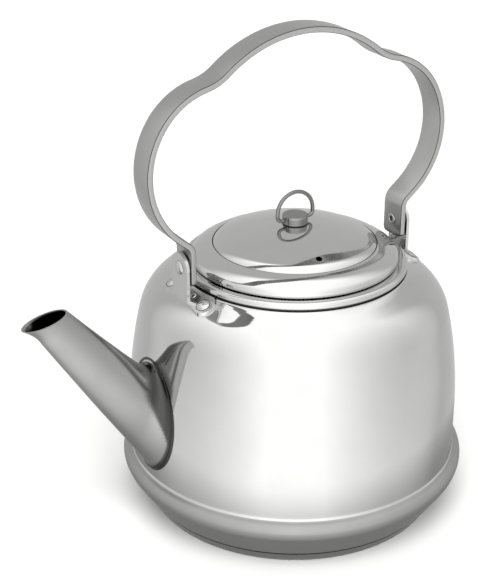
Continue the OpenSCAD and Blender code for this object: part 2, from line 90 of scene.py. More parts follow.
def arc(centre: Point, radius: float, start: float, end: float, step: float = 3.0) -> list[Point]:
    """Draws an arc without its first point.

    Args:
        centre: Middle of the arc.
        radius: Radius of the arc.
        start: First angle, in degrees.
        end: Last angle, in degrees.
        step: Largest turn between points, in degrees.

    Returns:
        The arc's points in order.
    """
    count = max(2, math.ceil(abs(end - start) / step))
    return [polar(centre, radius, start + (end - start) * i / count) for i in range(1, count + 1)]


def mirrored(half: Sequence[Point], lift: float = 0.0) -> list[Vector]:
    """Completes a path that is the same on both sides of the kettle's middle.

    Args:
        half: Its points as (x, z), from the middle outwards.
        lift: Height that is added to them.

    Returns:
        The whole path, from -X to +X.
    """
    line = [(-x, z) for x, z in reversed(half[1:])] + list(half)
    return [Vector((x, 0.0, lift + z)) for x, z in line]


def beside(path: Sequence[Point], gap: float) -> list[Point]:
    """Moves a path sideways.

    Args:
        path: Points of the path.
        gap: Distance to the path's left.

    Returns:
        The moved points.
    """
    moved, least = [], 0.3
    for i, point in enumerate(path):
        ahead = Vector(path[min(i + 1, len(path) - 1)]) - Vector(path[min(i, len(path) - 2)])
        behind = Vector(path[max(i, 1)]) - Vector(path[max(i - 1, 0)])
        left = Vector((-ahead.y, ahead.x)).normalized()
        back = Vector((-behind.y, behind.x)).normalized()
        mean = (left + back).normalized()
        shift = mean * (gap / max(least, mean.dot(left)))
        moved.append((point[0] + shift.x, point[1] + shift.y))
    return moved


def spaced(path: Sequence[Point], longest: float) -> list[Point]:
    """Adds points to a path's long stretches.

    Args:
        path: Points of the path.
        longest: Longest stretch that stays whole.

    Returns:
        The path with no stretch longer than that.
    """
    full = [path[0]]
    for a, b in zip(path, path[1:]):
        count = max(1, math.ceil(math.dist(a, b) / longest))
        full += [(a[0] + (b[0] - a[0]) * k / count, a[1] + (b[1] - a[1]) * k / count)
                 for k in range(1, count + 1)]
    return full


def eased(path: Sequence[Point], spots: Sequence[Point], radius: float) -> list[Point]:
    """Rounds some corners of a path.

    Args:
        path: Points of the path.
        spots: The corners to round, as they stand in the path.
        radius: Distance from a corner at which its round starts.

    Returns:
        The path with each of those corners as a short curve.
    """
    most, steps = 0.45, 6
    result: list[Point] = []
    for i, point in enumerate(path):
        if point not in spots or i in (0, len(path) - 1):
            result.append(point)
            continue
        corner = Vector(point)
        before = Vector(path[i - 1]) - corner
        after = Vector(path[i + 1]) - corner
        a = corner + before.normalized() * min(radius, before.length * most)
        b = corner + after.normalized() * min(radius, after.length * most)
        for k in range(steps + 1):
            t = k / steps
            mix = a * (1 - t) ** 2 + corner * (2 * t * (1 - t)) + b * t ** 2
            result.append((mix.x, mix.y))
    return result


def smooth(start: float, end: float, value: float) -> float:
    """Returns 0 before the start and 1 past the end, with a soft change between."""
    t = min(1.0, max(0.0, (value - start) / (end - start)))
    return t * t * (3 - 2 * t)


# ---- meshes -----------------------------------------------------------------


def skin(name: str, rows: Sequence[Sequence[Sequence[float]]], closed: bool,
         ends: bool = False, shade: Callable[[int, int], float] | None = None) -> Piece:
    """Joins rings of points into a smooth shell.

    Args:
        name: Name of the piece.
        rows: Rings of points in millimetres, all with the same number of points.
        closed: Whether the last ring joins the first.
        ends: Whether the first and last rings are closed with a flat face.
        shade: Gives how dark a point is painted, by its row and its place in it.

    Returns:
        The new object, with the distance across the rings kept on each point as "across",
        and the shade, where there is one, as "shade".
    """
    count = len(rows[0])
    points = [tuple(c * MM for c in point) for row in rows for point in row]
    span = len(rows) if closed else len(rows) - 1
    faces: list[tuple[int, ...]] = []
    for j in range(span):
        k = (j + 1) % len(rows)
        for i in range(count):
            m = (i + 1) % count
            faces.append((j * count + i, j * count + m, k * count + m, k * count + i))
    if ends:
        faces.append(tuple(reversed(range(count))))
        faces.append(tuple(range((len(rows) - 1) * count, len(rows) * count)))
    mesh = bpy.data.meshes.new(name)
    mesh.from_pydata(points, [], faces)
    across = mesh.attributes.new("across", "FLOAT", "POINT")
    total = 0.0
    for j, row in enumerate(rows):
        if j:
            total += sum(math.dist(a, b) for a, b in zip(rows[j - 1], row)) / count * MM
        for i in range(count):
            across.data[j * count + i].value = total
    if shade:
        dark = mesh.attributes.new("shade", "FLOAT", "POINT")
        for j in range(len(rows)):
            for i in range(count):
                dark.data[j * count + i].value = shade(j, i)
    return tidy(name, mesh)


def tidy(name: str, mesh: bpy.types.Mesh) -> Piece:
    """Turns a mesh into a smooth object with clean edges and outward faces.

    Args:
        name: Name of the piece.
        mesh: Its mesh.

    Returns:
        The new object, linked to the scene.
    """
    form = bmesh.new()
    form.from_mesh(mesh)
    bmesh.ops.remove_doubles(form, verts=form.verts, dist=1e-7)
    bmesh.ops.recalc_face_normals(form, faces=form.faces)
    form.to_mesh(mesh)
    form.free()
    mesh.shade_smooth()
    mesh.set_sharp_from_angle(angle=math.radians(CRISP))
    piece = bpy.data.objects.new(name, mesh)
    bpy.context.scene.collection.objects.link(piece)
    return piece


def revolve(name: str, path: Sequence[Point], steps: int, closed: bool = True,
            place: Matrix | None = None) -> Piece:
    """Turns an outline of radius and height about its axis.

    Args:
        name: Name of the piece.
        path: Outline as (radius, height) points.
        steps: Number of points round the axis.
        closed: Whether the outline's last point joins its first.
        place: Where the axis stands, in millimetres, or None for the kettle's own axis.

    Returns:
        The new object.
    """
    move = place or Matrix.Identity(4)
    rows = []
    for radius, height in path:
        row = []
        for i in range(steps):
            turn = 2 * math.pi * i / steps
            row.append(move @ Vector((radius * math.cos(turn), radius * math.sin(turn), height)))
        rows.append(row)
    return skin(name, rows, closed)


def sweep(name: str, path: Sequence[Vector], side: Vector,
          section: Callable[[int], Sequence[Point]]) -> Piece:
    """Draws a section along a flat path and closes both ends.

    Args:
        name: Name of the piece.
        path: Points of the middle line.
        side: Direction square to the path's plane.
        section: Gives the outline at a point of the path, as (outward, sideways) offsets.

    Returns:
        The new object.
    """
    rows = []
    for i, point in enumerate(path):
        ahead = (path[min(i + 1, len(path) - 1)] - path[max(i - 1, 0)]).normalized()
        out = side.cross(ahead).normalized()
        rows.append([point + out * a + side * b for a, b in section(i)])
    return skin(name, rows, False, ends=True)


def carve(piece: Piece, cutter: Piece) -> None:
    """Cuts one mesh out of another and deletes the cutter.

    Args:
        piece: The piece that is cut.
        cutter: The solid that it loses.
    """
    cut = piece.modifiers.new("cut", "BOOLEAN")
    cut.operation = "DIFFERENCE"
    cut.solver = "EXACT"
    cut.object = cutter
    graph = bpy.context.evaluated_depsgraph_get()
    mesh = bpy.data.meshes.new_from_object(piece.evaluated_get(graph))
    piece.modifiers.clear()
    old = piece.data
    piece.data = mesh
    bpy.data.meshes.remove(old)
    mesh.shade_smooth()
    mesh.set_sharp_from_angle(angle=math.radians(CRISP))
    bpy.data.objects.remove(cutter)


def merged(name: str, parts: Sequence[Piece]) -> Piece:
    """Joins several objects into one.

    Args:
        name: Name of the joined piece.
        parts: The objects, all at the origin.

    Returns:
        The joined object.
    """
    form = bmesh.new()
    for part in parts:
        form.from_mesh(part.data)
    mesh = bpy.data.meshes.new(name)
    form.to_mesh(mesh)
    form.free()
    for part in parts:
        bpy.data.objects.remove(part)
    return tidy(name, mesh)


def drill(piece: Piece, radius: float, ends: Point, steps: int, place: Matrix) -> None:
    """Cuts a round hole through a piece.

    Args:
        piece: The piece that is cut.
        radius: Radius of the hole.
        ends: Where the cut starts and stops along its axis.
        steps: Number of points round the hole.
        place: Where the axis stands, in millimetres.
    """
    low, high = ends
    path = [(0.0, low), (radius, low), (radius, high), (0.0, high)]
    carve(piece, revolve("cutter", path, steps, closed=False, place=place))


# ---- finishes ---------------------------------------------------------------


def linear(code: str) -> tuple[float, float, float, float]:
    """Turns an sRGB hex value into linear colour with full alpha."""
    parts = [int(code[i:i + 2], 16) / 255 for i in (1, 3, 5)]
    r, g, b = (c / 12.92 if c <= 0.04045 else ((c + 0.055) / 1.055) ** 2.4 for c in parts)
    return (r, g, b, 1.0)


def add(tree: Tree, kind: str, inputs: dict[Any, Any] | None = None,
        **settings: Any) -> bpy.types.Node:
    """Adds a node with its settings and links.

    Args:
        tree: Node tree that takes the node.
        kind: Blender's name of the node type, without its "ShaderNode".
        inputs: Values or output sockets for the node's inputs, by name or number.
        **settings: Properties of the node.

    Returns:
        The new node.
    """
    node = tree.nodes.new("ShaderNode" + kind)
    for key, value in settings.items():
        setattr(node, key, value)
    for key, value in (inputs or {}).items():
        if isinstance(value, bpy.types.NodeSocket):
            tree.links.new(value, node.inputs[key])
        else:
            node.inputs[key].default_value = value
    return node


def calc(tree: Tree, operation: str, *values: Any) -> Socket:
    """Adds a node that works out a number.

    Args:
        tree: Node tree that takes the node.
        operation: Blender's name of what it works out.
        *values: Numbers or output sockets that it works on.

    Returns:
        The socket of the result.
    """
    return add(tree, "Math", dict(enumerate(values)), operation=operation).outputs[0]


def vector(tree: Tree, operation: str, *values: Any, **named: Any) -> bpy.types.Node:
    """Adds a node that works on vectors.

    Args:
        tree: Node tree that takes the node.
        operation: Blender's name of what it works out.
        *values: Vectors or output sockets that it works on.
        **named: Its other inputs.

    Returns:
        The new node.
    """
    return add(tree, "VectorMath", dict(enumerate(values)) | named, operation=operation)


def noise(tree: Tree, place: Socket, size: float, detail: float) -> bpy.types.Node:
    """Returns a node of soft noise with lumps of a size in millimetres."""
    return add(tree, "TexNoise", {"Vector": place, "Scale": 1 / (size * MM), "Detail": detail})


def ramp(tree: Tree, value: Socket, span: Point, result: Sequence[Any], soft: bool = False
         ) -> Socket:
    """Maps a value from one range to another.

    Args:
        tree: Node tree that takes the node.
        value: The value's socket.
        span: Start and end of its range.
        result: What it becomes at the start and at the end, as numbers or sockets.
        soft: Whether the change starts and ends softly.

    Returns:
        The socket of the mapped value.
    """
    inputs = {"Value": value, "From Min": span[0], "From Max": span[1], "To Min": result[0],
              "To Max": result[1]}
    kind = "SMOOTHSTEP" if soft else "LINEAR"
    return add(tree, "MapRange", inputs, interpolation_type=kind).outputs["Result"]


def blend(tree: Tree, share: Socket, start: Any, end: str) -> Socket:
    """Returns the socket of a colour that goes from a start to an sRGB hex value."""
    return add(tree, "Mix", {"Factor": share, "A": start, "B": linear(end)},
               data_type="RGBA").outputs["Result"]


def blank(name: str) -> bpy.types.Material:
    """Returns a new material with an empty node tree."""
    material = bpy.data.materials.new(name)
    material.use_nodes = True
    material.node_tree.nodes.clear()
    return material


class Lay(Enum):
    """Direction in which a surface was polished or ground."""

    ROUND = "lines run round the piece, from a lathe or a buffing wheel"
    LENGTHWISE = "lines run along a strap, from a belt"
    NONE = "tumbled or pressed, with no direction"


@dataclass(frozen=True)
class SteelFinish:
    """A steel surface: how bright it is, how it was polished and how it has worn.

    The polish lines are drawn several times coarser than real ones, which are too fine to show.
    Places with the attribute "shade" turn to the painted colour, which follows the photograph:
    painted shade and painted reflections.
    """

    name: str
    bright: str
    dull: str
    smooth: float
    rough: float
    lay: Lay = Lay.ROUND
    line_mm: float = 0.5
    line_depth_mm: float = 0.0012
    wave_mm: float = 26.0
    wave_depth_mm: float = 0.010
    haze_mm: float = 18.0
    haze_span: Point = (0.25, 0.85)
    drift_mm: float = 60.0
    scratch: float = 0.12
    cell_mm: float = 14.0
    bend_mm: float = 35.0
    bend: float = 0.6
    hair_share: float = 0.012
    # Colour and roughness of the painted shade, where a point's shade attribute is set.
    painted: str = "#4a4a49"
    painted_rough: float = 0.12

    def material(self) -> bpy.types.Material:
        """Builds the finish once and returns it."""
        known = bpy.data.materials.get(self.name)
        if known:
            return known
        material = blank(self.name)
        tree = material.node_tree
        place = add(tree, "TexCoord").outputs["Object"]
        haze = noise(tree, place, self.haze_mm, 3.0)
        lines = self._lines(tree, place)
        worn = add(tree, "Math", {0: haze.outputs["Fac"], 1: self._hairlines(tree, place)},
                   operation="ADD", use_clamp=True).outputs[0]
        paint = add(tree, "Attribute", attribute_name="shade").outputs["Fac"]
        colour = blend(tree, worn, linear(self.bright), self.dull)
        rough = ramp(tree, worn, self.haze_span, (self.smooth, self.rough))
        wave = noise(tree, place, self.wave_mm, 1.0)
        sheet = add(tree, "Bump", {"Height": wave.outputs["Fac"], "Strength": 1.0,
                                   "Distance": self.wave_depth_mm * MM})
        grain = add(tree, "Bump", {"Height": lines, "Strength": 1.0,
                                   "Normal": sheet.outputs["Normal"],
                                   "Distance": self.line_depth_mm * MM})
        steel = add(tree, "BsdfPrincipled",
                    {"Base Color": blend(tree, paint, colour, self.painted), "Metallic": 1.0,
                     "Roughness": ramp(tree, paint, (0.0, 1.0), (rough, self.painted_rough)),
                     "Normal": grain.outputs["Normal"]})
        add(tree, "OutputMaterial", {"Surface": steel.outputs["BSDF"]})
        return material

    def _lines(self, tree: Tree, place: Socket) -> Socket:
        """Draws the fine lines of the polish.

        Args:
            tree: The material's nodes.
            place: The point's own coordinates.

        Returns:
            The height of the lines, 0 to 1.
        """
        if self.lay is Lay.NONE:
            return noise(tree, place, self.line_mm, 2.0).outputs["Fac"]
        if self.lay is Lay.ROUND:
            across = add(tree, "Attribute", attribute_name="across").outputs["Fac"]
        else:
            across = add(tree, "SeparateXYZ", {0: place}).outputs["Y"]
        slow = vector(tree, "SCALE", place, Scale=1 / (self.drift_mm * MM)).outputs[0]
        fast = calc(tree, "MULTIPLY", across, 1 / (self.line_mm * MM))
        shift = add(tree, "CombineXYZ", {"Z": fast}).outputs[0]
        spot = vector(tree, "ADD", slow, shift).outputs[0]
        return add(tree, "TexNoise", {"Vector": spot, "Scale": 1.0, "Detail": 3.0}).outputs["Fac"]

    def _hairlines(self, tree: Tree, place: Socket) -> Socket:
        """Draws thin stray scratches, as cloths and hobs leave them.

        Args:
            tree: The material's nodes.
            place: The point's own coordinates.

        Returns:
            How strongly a point is scratched.
        """
        bent = noise(tree, place, self.bend_mm, 2.0)
        drift = vector(tree, "SCALE", bent.outputs["Color"], Scale=self.bend).outputs[0]
        base = vector(tree, "SCALE", place, Scale=1 / (self.cell_mm * MM)).outputs[0]
        spot = vector(tree, "ADD", base, drift).outputs[0]
        cells = add(tree, "TexVoronoi", {"Vector": spot, "Scale": 1.0},
                    feature="DISTANCE_TO_EDGE")
        return ramp(tree, cells.outputs["Distance"], (0.0, self.hair_share), (self.scratch, 0.0))


# Mirror-buffed 18/8 stainless sheet: clear, slightly wavy reflections from the pressing.
BUFFED_SHEET = SteelFinish("buffed_stainless_sheet", "#d2d2d1", "#c9c9c8", 0.035, 0.08)
# The bulge, taken as satin from its rolling and drawn darker than the body as painted shade: it
# blurs what it reflects into an even grey band.
ROLLED_BULGE = SteelFinish("rolled_stainless_bulge", "#a8a8a7", "#9f9f9e", 0.44, 0.54,
                           line_mm=0.8, line_depth_mm=0.002)
# The same sheet inside, taken as only pickled: a soft, even sheen.
PICKLED_INSIDE = SteelFinish("pickled_stainless_inside", "#bcbcba", "#aaa9a6", 0.30, 0.42,
                             lay=Lay.NONE, line_mm=0.4, line_depth_mm=0.004)
# Drawn and polished spout tube: much hazier than the body, a soft and even grey.
POLISHED_TUBE = SteelFinish("polished_stainless_tube", "#a9a9a8", "#a0a09f", 0.38, 0.46)
# Belt-ground strip: satin, with lines along the strap that stretch each highlight.
SATIN_STRIP = SteelFinish("satin_ground_strip", "#b9b9b8", "#aaaaa9", 0.24, 0.34,
                          lay=Lay.LENGTHWISE, line_mm=0.5, line_depth_mm=0.003)
# Rolled corners of the same strip, drawn dark as painted shade: a thin line along each edge.
ROLLED_EDGE = SteelFinish("rolled_strip_edge", "#545453", "#484847", 0.26, 0.36,
                          lay=Lay.LENGTHWISE, line_mm=0.5, line_depth_mm=0.002)
# Pressed ear plate, tumbled smooth: a quiet half-gloss.
TUMBLED_PLATE = SteelFinish("tumbled_stainless_plate", "#d8d8d7", "#c8c8c7", 0.16, 0.26,
                            lay=Lay.NONE, line_mm=0.6, line_depth_mm=0.004)
# Cold-headed rivet steel: a small soft highlight on each dome.
HEADED_RIVET = SteelFinish("headed_rivet_steel", "#d6d6d5", "#b6b6b5", 0.14, 0.26,
                           line_mm=0.3, line_depth_mm=0.003, haze_mm=3.0)
# Turned stud: a darker steel with fine lathe rings.
TURNED_STUD = SteelFinish("turned_stainless_stud", "#9c9c9b", "#868685", 0.06, 0.12,
                          line_mm=0.25, line_depth_mm=0.004, haze_mm=4.0)
# Bright-drawn wire: a narrow clean highlight along the ring.
BRIGHT_WIRE = SteelFinish("bright_drawn_wire", "#8a8a89", "#7a7a79", 0.05, 0.10,
                          lay=Lay.NONE, line_mm=0.4, line_depth_mm=0.002, haze_mm=4.0)
# Linished base cap: a little darker than the body, with rings from the grinding belt.
LINISHED_CAP = SteelFinish("linished_base_steel", "#b6b6b5", "#a6a6a5", 0.24, 0.34,
                           line_mm=0.45, line_depth_mm=0.006, haze_mm=9.0)
# Seams, grooves and the rims under heads, drawn as a dull dark line of painted shade in these
# hollows.
SEAM_LINE = SteelFinish("compound_darkened_seam", "#4c4b49", "#3a3937", 0.45, 0.60,
                        lay=Lay.NONE, line_mm=0.5, line_depth_mm=0.004, haze_mm=5.0)
# The lid's crease, drawn as dull steel that shows as a thin grey line: painted shade in the
# crease.
UNBUFFED_CREASE = SteelFinish("unbuffed_lid_crease", "#7a7a79", "#6a6a69", 0.22, 0.32,
                              line_mm=0.5, line_depth_mm=0.002, haze_mm=6.0)
# Cast heat-spreading alloy inside the base: matt and pale grey.
CAST_CORE = SteelFinish("cast_base_alloy", "#b4b6b8", "#a0a2a4", 0.45, 0.55,
                        lay=Lay.NONE, line_mm=0.8, line_depth_mm=0.02)


def dress(piece: Piece, finishes: Sequence[SteelFinish], body: str, slot: str,
          *nodes: str, mark: Callable[[Vector, Vector], int] | None = None) -> None:
    """Gives a new piece its finishes, its body and the nodes that it stands for.

    Args:
        piece: The piece.
        finishes: Its finishes, with the main one first.
        body: Body that it rides on.
        slot: Record slot of its finish; not used.
        *nodes: CAD nodes that it replaces.
        mark: Gives a face's place among the finishes, by its centre in millimetres and its
            normal. Without it each face keeps the place that it has.
    """
    mesh = piece.data
    marks = [int(mark(face.center / MM, face.normal)) if mark else face.material_index
             for face in mesh.polygons]
    mesh.materials.clear()
    for finish in finishes:
        mesh.materials.append(finish.material())
    for face, number in zip(mesh.polygons, marks):
        face.material_index = number
    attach(piece, body)
    for node in nodes:
        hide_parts(node)
    LOG.info("%s: %d faces, %s", piece.name, len(mesh.polygons), finishes[0].name)


def finish_node(frame: dict[str, Any], node: str, finish: SteelFinish) -> None:
    """Gives a carried-over CAD node its finish.

    Args:
        frame: The loaded frame.
        node: Name of the node.
        finish: Its finish.
    """
    piece = frame["nodes"][node]
    material = finish.material()
    if piece.material_slots:
        for spot in piece.material_slots:
            spot.material = material
    else:
        piece.data.materials.append(material)
    LOG.info("%s: kept from the CAD, %s", node, finish.name)


# ---- the kettle's sub-assemblies --------------------------------------------


class Shell(IntEnum):
    """Places of a shell's finishes among its materials."""

    BUFFED = 0
    INSIDE = 1
    # Painted shade in the neck seam and the groove above the base cap.
    SEAM = 2
    # The bulge's satin, drawn darker than the body as painted shade.
    BULGE = 3


@dataclass
class Body:
    """The body: a bulged pan, a wall, a shoulder and a rolled neck, over a bonded base.

    The fields from face_out on are the limits by which a face is given its finish.
    """

    sheet: float = 0.8
    foot_r: float = 76.35
    base_r: float = 79.0
    base_h: float = 6.5
    cap_t: float = 0.6
    cap_corner: float = 1.6
    cap_groove: float = 0.5
    pan_corner: float = 1.2
    bulge_r: float = 89.97
    bulge_rise: float = 18.1
    bulge_low_r: float = 8.0
    bulge_top_r: float = 5.0
    bulge_fillet: float = 2.0
    bulge_lean: float = 33.0
    wall_r: float = 85.4
    wall_z: float = 53.0
    wall_arc_r: float = 230.0
    shoulder_z: float = 106.0
    shoulder_arc_r: float = 26.0
    shoulder_slope: float = 28.0
    neck_r: float = 57.35
    neck_roll_r: float = 4.35
    neck_rise: float = 0.8
    bead_r: float = 2.3
    seam_depth: float = 0.9
    seam_low: float = 0.75
    seam_high: float = 1.75
    mouth_r: float = 50.8
    mouth_lip: float = 7.0
    lip_corner: float = 1.1
    port_r: float = 13.0
    port_flat: float = 22.0
    port_z: float = 64.4
    neck_skirt: float = 2.4
    neck_lift: float = 0.25
    seam_step: float = 0.1
    bead_turn: float = -24.0
    edge_ease: float = 0.5
    neck_ease: float = 1.6
    cap_turn: float = -15.0
    cap_taper: float = 0.12
    cap_chamfer: float = 0.25
    cap_line: float = 0.06
    port_in: float = 20.0
    port_out: float = 6.0
    port_steps: int = 64
    cap_steps: int = 192
    steps: int = 240
    face_out: float = 0.05
    face_in: float = -0.02
    face_up: float = 0.5
    face_down: float = -0.3
    mark_gap: float = 0.3
    wall_gap: float = 0.5
    floor_top: float = 20.0
    roof_low: float = 80.0
    bulge_above: float = 6.0
    base_line: float = 0.35
    base_line_in: float = 4.0

    def __post_init__(self) -> None:
        """Works out the arcs' centres and the neck's height."""
        turn = math.asin((self.shoulder_z - self.wall_z) / self.wall_arc_r)
        self.wall_turn = math.degrees(turn)
        self.wall_c = (self.wall_r - self.wall_arc_r, self.wall_z)
        self.shoulder_c = polar(self.wall_c, self.wall_arc_r - self.shoulder_arc_r, self.wall_turn)
        self.shoulder_end = polar(self.shoulder_c, self.shoulder_arc_r, 90 - self.shoulder_slope)
        self.neck_z = self.cone_at(self.neck_r)
        self.roll_c = (self.neck_r - self.neck_roll_r, self.neck_z + self.neck_rise)
        self.crest_z = self.roll_c[1] + self.neck_roll_r

    def wall_at(self, z: float) -> float:
        """Returns the wall's outer radius at a height."""
        if z < self.wall_z:
            return self.wall_r
        return self.wall_c[0] + math.sqrt(self.wall_arc_r ** 2 - (z - self.wall_z) ** 2)

    def cone_at(self, r: float) -> float:
        """Returns the height of the shoulder's cone at a radius."""
        drop = math.tan(math.radians(self.shoulder_slope))
        return self.shoulder_end[1] + (self.shoulder_end[0] - r) * drop

    def shoulder_path(self) -> list[Point]:
        """Returns the shoulder's outer face, from the wall to the neck."""
        return arc(self.shoulder_c, self.shoulder_arc_r, self.wall_turn,
                   90 - self.shoulder_slope) + [(self.neck_r, self.neck_z)]

    def outer_path(self) -> list[Point]:
        """Returns the outer face of the whole shell, from the middle of the pan to the mouth."""
        bulge_z = self.base_h + self.bulge_rise
        bulge_c = (self.bulge_r - self.bulge_low_r, bulge_z)
        low = polar(bulge_c, self.bulge_low_r, -self.bulge_lean)
        drop = low[1] - self.base_h - self.pan_corner
        edge = (low[0] - drop * math.tan(math.radians(self.bulge_lean)), low[1] - drop)
        top_c = (self.bulge_r - self.bulge_top_r, bulge_z)
        reach = self.bulge_top_r + self.bulge_fillet
        gap = self.wall_r + self.bulge_fillet - top_c[0]
        fillet_c = (self.wall_r + self.bulge_fillet, bulge_z + math.sqrt(reach ** 2 - gap ** 2))
        fillet_a = math.degrees(math.atan2(fillet_c[1] - top_c[1], fillet_c[0] - top_c[0]))
        bead_c = (self.neck_r - self.bead_r, self.crest_z - self.bead_r)
        seam_r = self.neck_r - self.seam_depth
        foot = (self.neck_r, self.neck_z + self.neck_lift)
        lip = (self.mouth_r + self.lip_corner, self.crest_z)
        path = [(0.0, self.base_h), (edge[0] - self.pan_corner, self.base_h), edge, low]
        path += arc(bulge_c, self.bulge_low_r, -self.bulge_lean, 0)
        path += arc(top_c, self.bulge_top_r, 0, fillet_a)
        path += arc(fillet_c, self.bulge_fillet, 180 + fillet_a, 180, 6.0)
        path += [(self.wall_r, self.wall_z)]
        path += arc(self.wall_c, self.wall_arc_r, 0, self.wall_turn, 0.4)
        path += self.shoulder_path()[:-1]
        skirt_r = self.neck_r + self.neck_skirt
        path += [(skirt_r, self.cone_at(skirt_r)), foot]
        path += [(self.neck_r - self.seam_step, self.neck_z + self.seam_low)]
        path += [(seam_r, self.neck_z + self.seam_low + self.seam_step)]
        path += [(seam_r, self.neck_z + self.seam_high)]
        path += [polar(bead_c, self.bead_r, self.bead_turn)]
        path += arc(bead_c, self.bead_r, self.bead_turn, 90, 5.0)
        path += [lip]
        path += arc((lip[0], lip[1] - self.lip_corner), self.lip_corner, 90, 180, 9.0)
        path += [(self.mouth_r, self.crest_z - self.mouth_lip)]
        return eased(eased(path, [edge, path[1]], self.edge_ease), [foot], self.neck_ease)

    def build(self) -> None:
        """Builds the shell with its port, and the base cap."""
        outer = self.outer_path()
        inner = beside(outer, self.sheet)
        inner[0] = (0.0, self.base_h + self.sheet)
        path = spaced(outer, 1.5) + list(reversed(inner))
        shell = revolve("body_skin", path, self.steps)
        carve(shell, self._port())
        dress(shell, (BUFFED_SHEET, PICKLED_INSIDE, SEAM_LINE, ROLLED_BULGE), "kettle",
              "polished_steel", "body_shell", mark=self._mark)
        dish = revolve("base_dish", self._cap_path(), self.cap_steps)
        # The cap's top edge, at the groove, is drawn as painted seam shade.
        line_z = self.base_h - self.cap_groove - 2 * self.cap_chamfer
        dress(dish, (LINISHED_CAP, SEAM_LINE), "kettle", "brushed_base", "base_cap",
              mark=lambda centre, normal: centre.z > line_z)

    def _cap_path(self) -> list[Point]:
        """Returns the outline of the cap round the base core, split where its line of painted seam
        shade starts.
        """
        top_z = self.base_h - self.cap_groove
        core_r = self.foot_r - self.cap_t - self.cap_corner
        outer = [(0.0, 0.0), (self.foot_r - self.cap_corner, 0.0)]
        outer += arc((self.foot_r - self.cap_corner, self.cap_corner), self.cap_corner, -90,
                     self.cap_turn)
        low, edge = outer[-1], (self.base_r - self.cap_taper, top_z - self.cap_chamfer)
        outer += [(edge[0] + (low[0] - edge[0]) * self.cap_line,
                   edge[1] + (low[1] - edge[1]) * self.cap_line)]
        outer += [edge, (self.base_r - self.cap_chamfer, top_z)]
        return spaced(outer, 2.0) + [(core_r, top_z), (core_r, self.cap_t), (0.0, self.cap_t)]

    def _port(self) -> Piece:
        """Returns the cutter of the opening behind the spout."""
        rows = []
        half = self.port_flat / 2
        for x in (-self.wall_r - self.port_out, -self.wall_r + self.port_in):
            row = []
            for i in range(self.port_steps):
                turn = 2 * math.pi * i / self.port_steps
                lift = half if math.sin(turn) >= 0 else -half
                row.append((x, self.port_r * math.cos(turn),
                            self.port_z + lift + self.port_r * math.sin(turn)))
            rows.append(row)
        return skin("port_cutter", rows, False, ends=True)

    def _mark(self, centre: Vector, normal: Vector) -> Shell:
        """Says which finish a face of the shell has.

        Args:
            centre: Middle of the face.
            normal: Its outward direction.

        Returns:
            Its place among the shell's finishes.
        """
        r, z = centre.xy.length, centre.z
        outward = normal.dot(Vector((centre.x, centre.y, 0.0)).normalized())
        # The groove above the base cap is drawn as painted seam shade.
        if z < self.base_h + self.base_line and r > self.base_r - self.base_line_in:
            return Shell.SEAM
        # Outward faces of the bulge take its satin, drawn darker as painted shade.
        bulge_top = self.base_h + self.bulge_rise + self.bulge_above
        if outward > self.face_out and r > self.base_r - WIDE and z < bulge_top:
            in_bulge = z < self.wall_z / 2 or r > self.wall_r + self.wall_gap
            return Shell.BULGE if in_bulge else Shell.BUFFED
        # The neck seam is drawn as painted seam shade.
        neck_line = self.neck_r - self.seam_step
        if (neck_line - self.seam_depth < r < neck_line - TINY
                and self.seam_low < z - self.neck_z < self.seam_high + self.mark_gap):
            return Shell.SEAM
        inward = (outward < self.face_in
                  and self.base_h + self.mark_gap < z < self.crest_z - WIDE)
        floor = normal.z > self.face_up and z < self.floor_top
        roof = normal.z < self.face_down and z > self.roof_low
        return Shell.INSIDE if inward or floor or roof else Shell.BUFFED


@dataclass(frozen=True)
class SpoutPaint:
    """Where the spout's outer face is painted dark, to follow the photograph.

    The dark places there are painted reflections and painted shade, with a lighter line of painted
    highlight along the upper side. Painted, they don't move with the light. Angles go round a
    section in degrees, with the top at 90, and shares run from 0 at the mouth to 1 at the wall.
    """

    root_thin: float = 0.8
    root_more: float = 12.0
    root_turns: Point = (200.0, 150.0)
    root_core: float = 0.55
    line_turn: float = 100.0
    line_drop: float = 62.0
    line_blur: float = 5.0
    above: float = 0.42
    edge: float = 0.45
    edge_wide: float = 5.0
    edge_span: Point = (0.0, 0.3)
    glint: float = 0.6
    glint_above: float = 15.0
    glint_wide: float = 4.0
    glint_span: Point = (0.1, 0.4)

    def at(self, gap: float, share: float, turn: float) -> float:
        """Says how dark a point is painted with shade and reflections.

        Args:
            gap: Distance outboard of the wall.
            share: Place along the spout.
            turn: Place round the section.

        Returns:
            0 where the tube is bright, 1 in the painted shade of the fillet at its root, less
            along its upper side, where painted reflections and a painted highlight run.
        """
        turn = turn if turn < 270 else turn - 360
        low = turn if turn >= 90 else 180 - turn
        width = self.root_thin + self.root_more * smooth(*self.root_turns, low)
        # Painted shade in the fillet at the root.
        root = smooth(width, width * self.root_core, gap)
        # A dark streak of painted reflection runs along the upper side.
        line = self.line_turn + self.line_drop * share
        upper = smooth(line + self.line_blur, line - self.line_blur, low)
        edge = math.exp(-((low - line) / self.edge_wide) ** 2) * smooth(*self.edge_span, share)
        # A lighter line of painted highlight beside the streak.
        off = (low - line + self.glint_above) / self.glint_wide
        glint = math.exp(-off ** 2) * smooth(*self.glint_span, share)
        side = upper * self.above * (1 + share) + self.edge * edge - self.glint * glint
        return min(1.0, max(0.0, root, side))


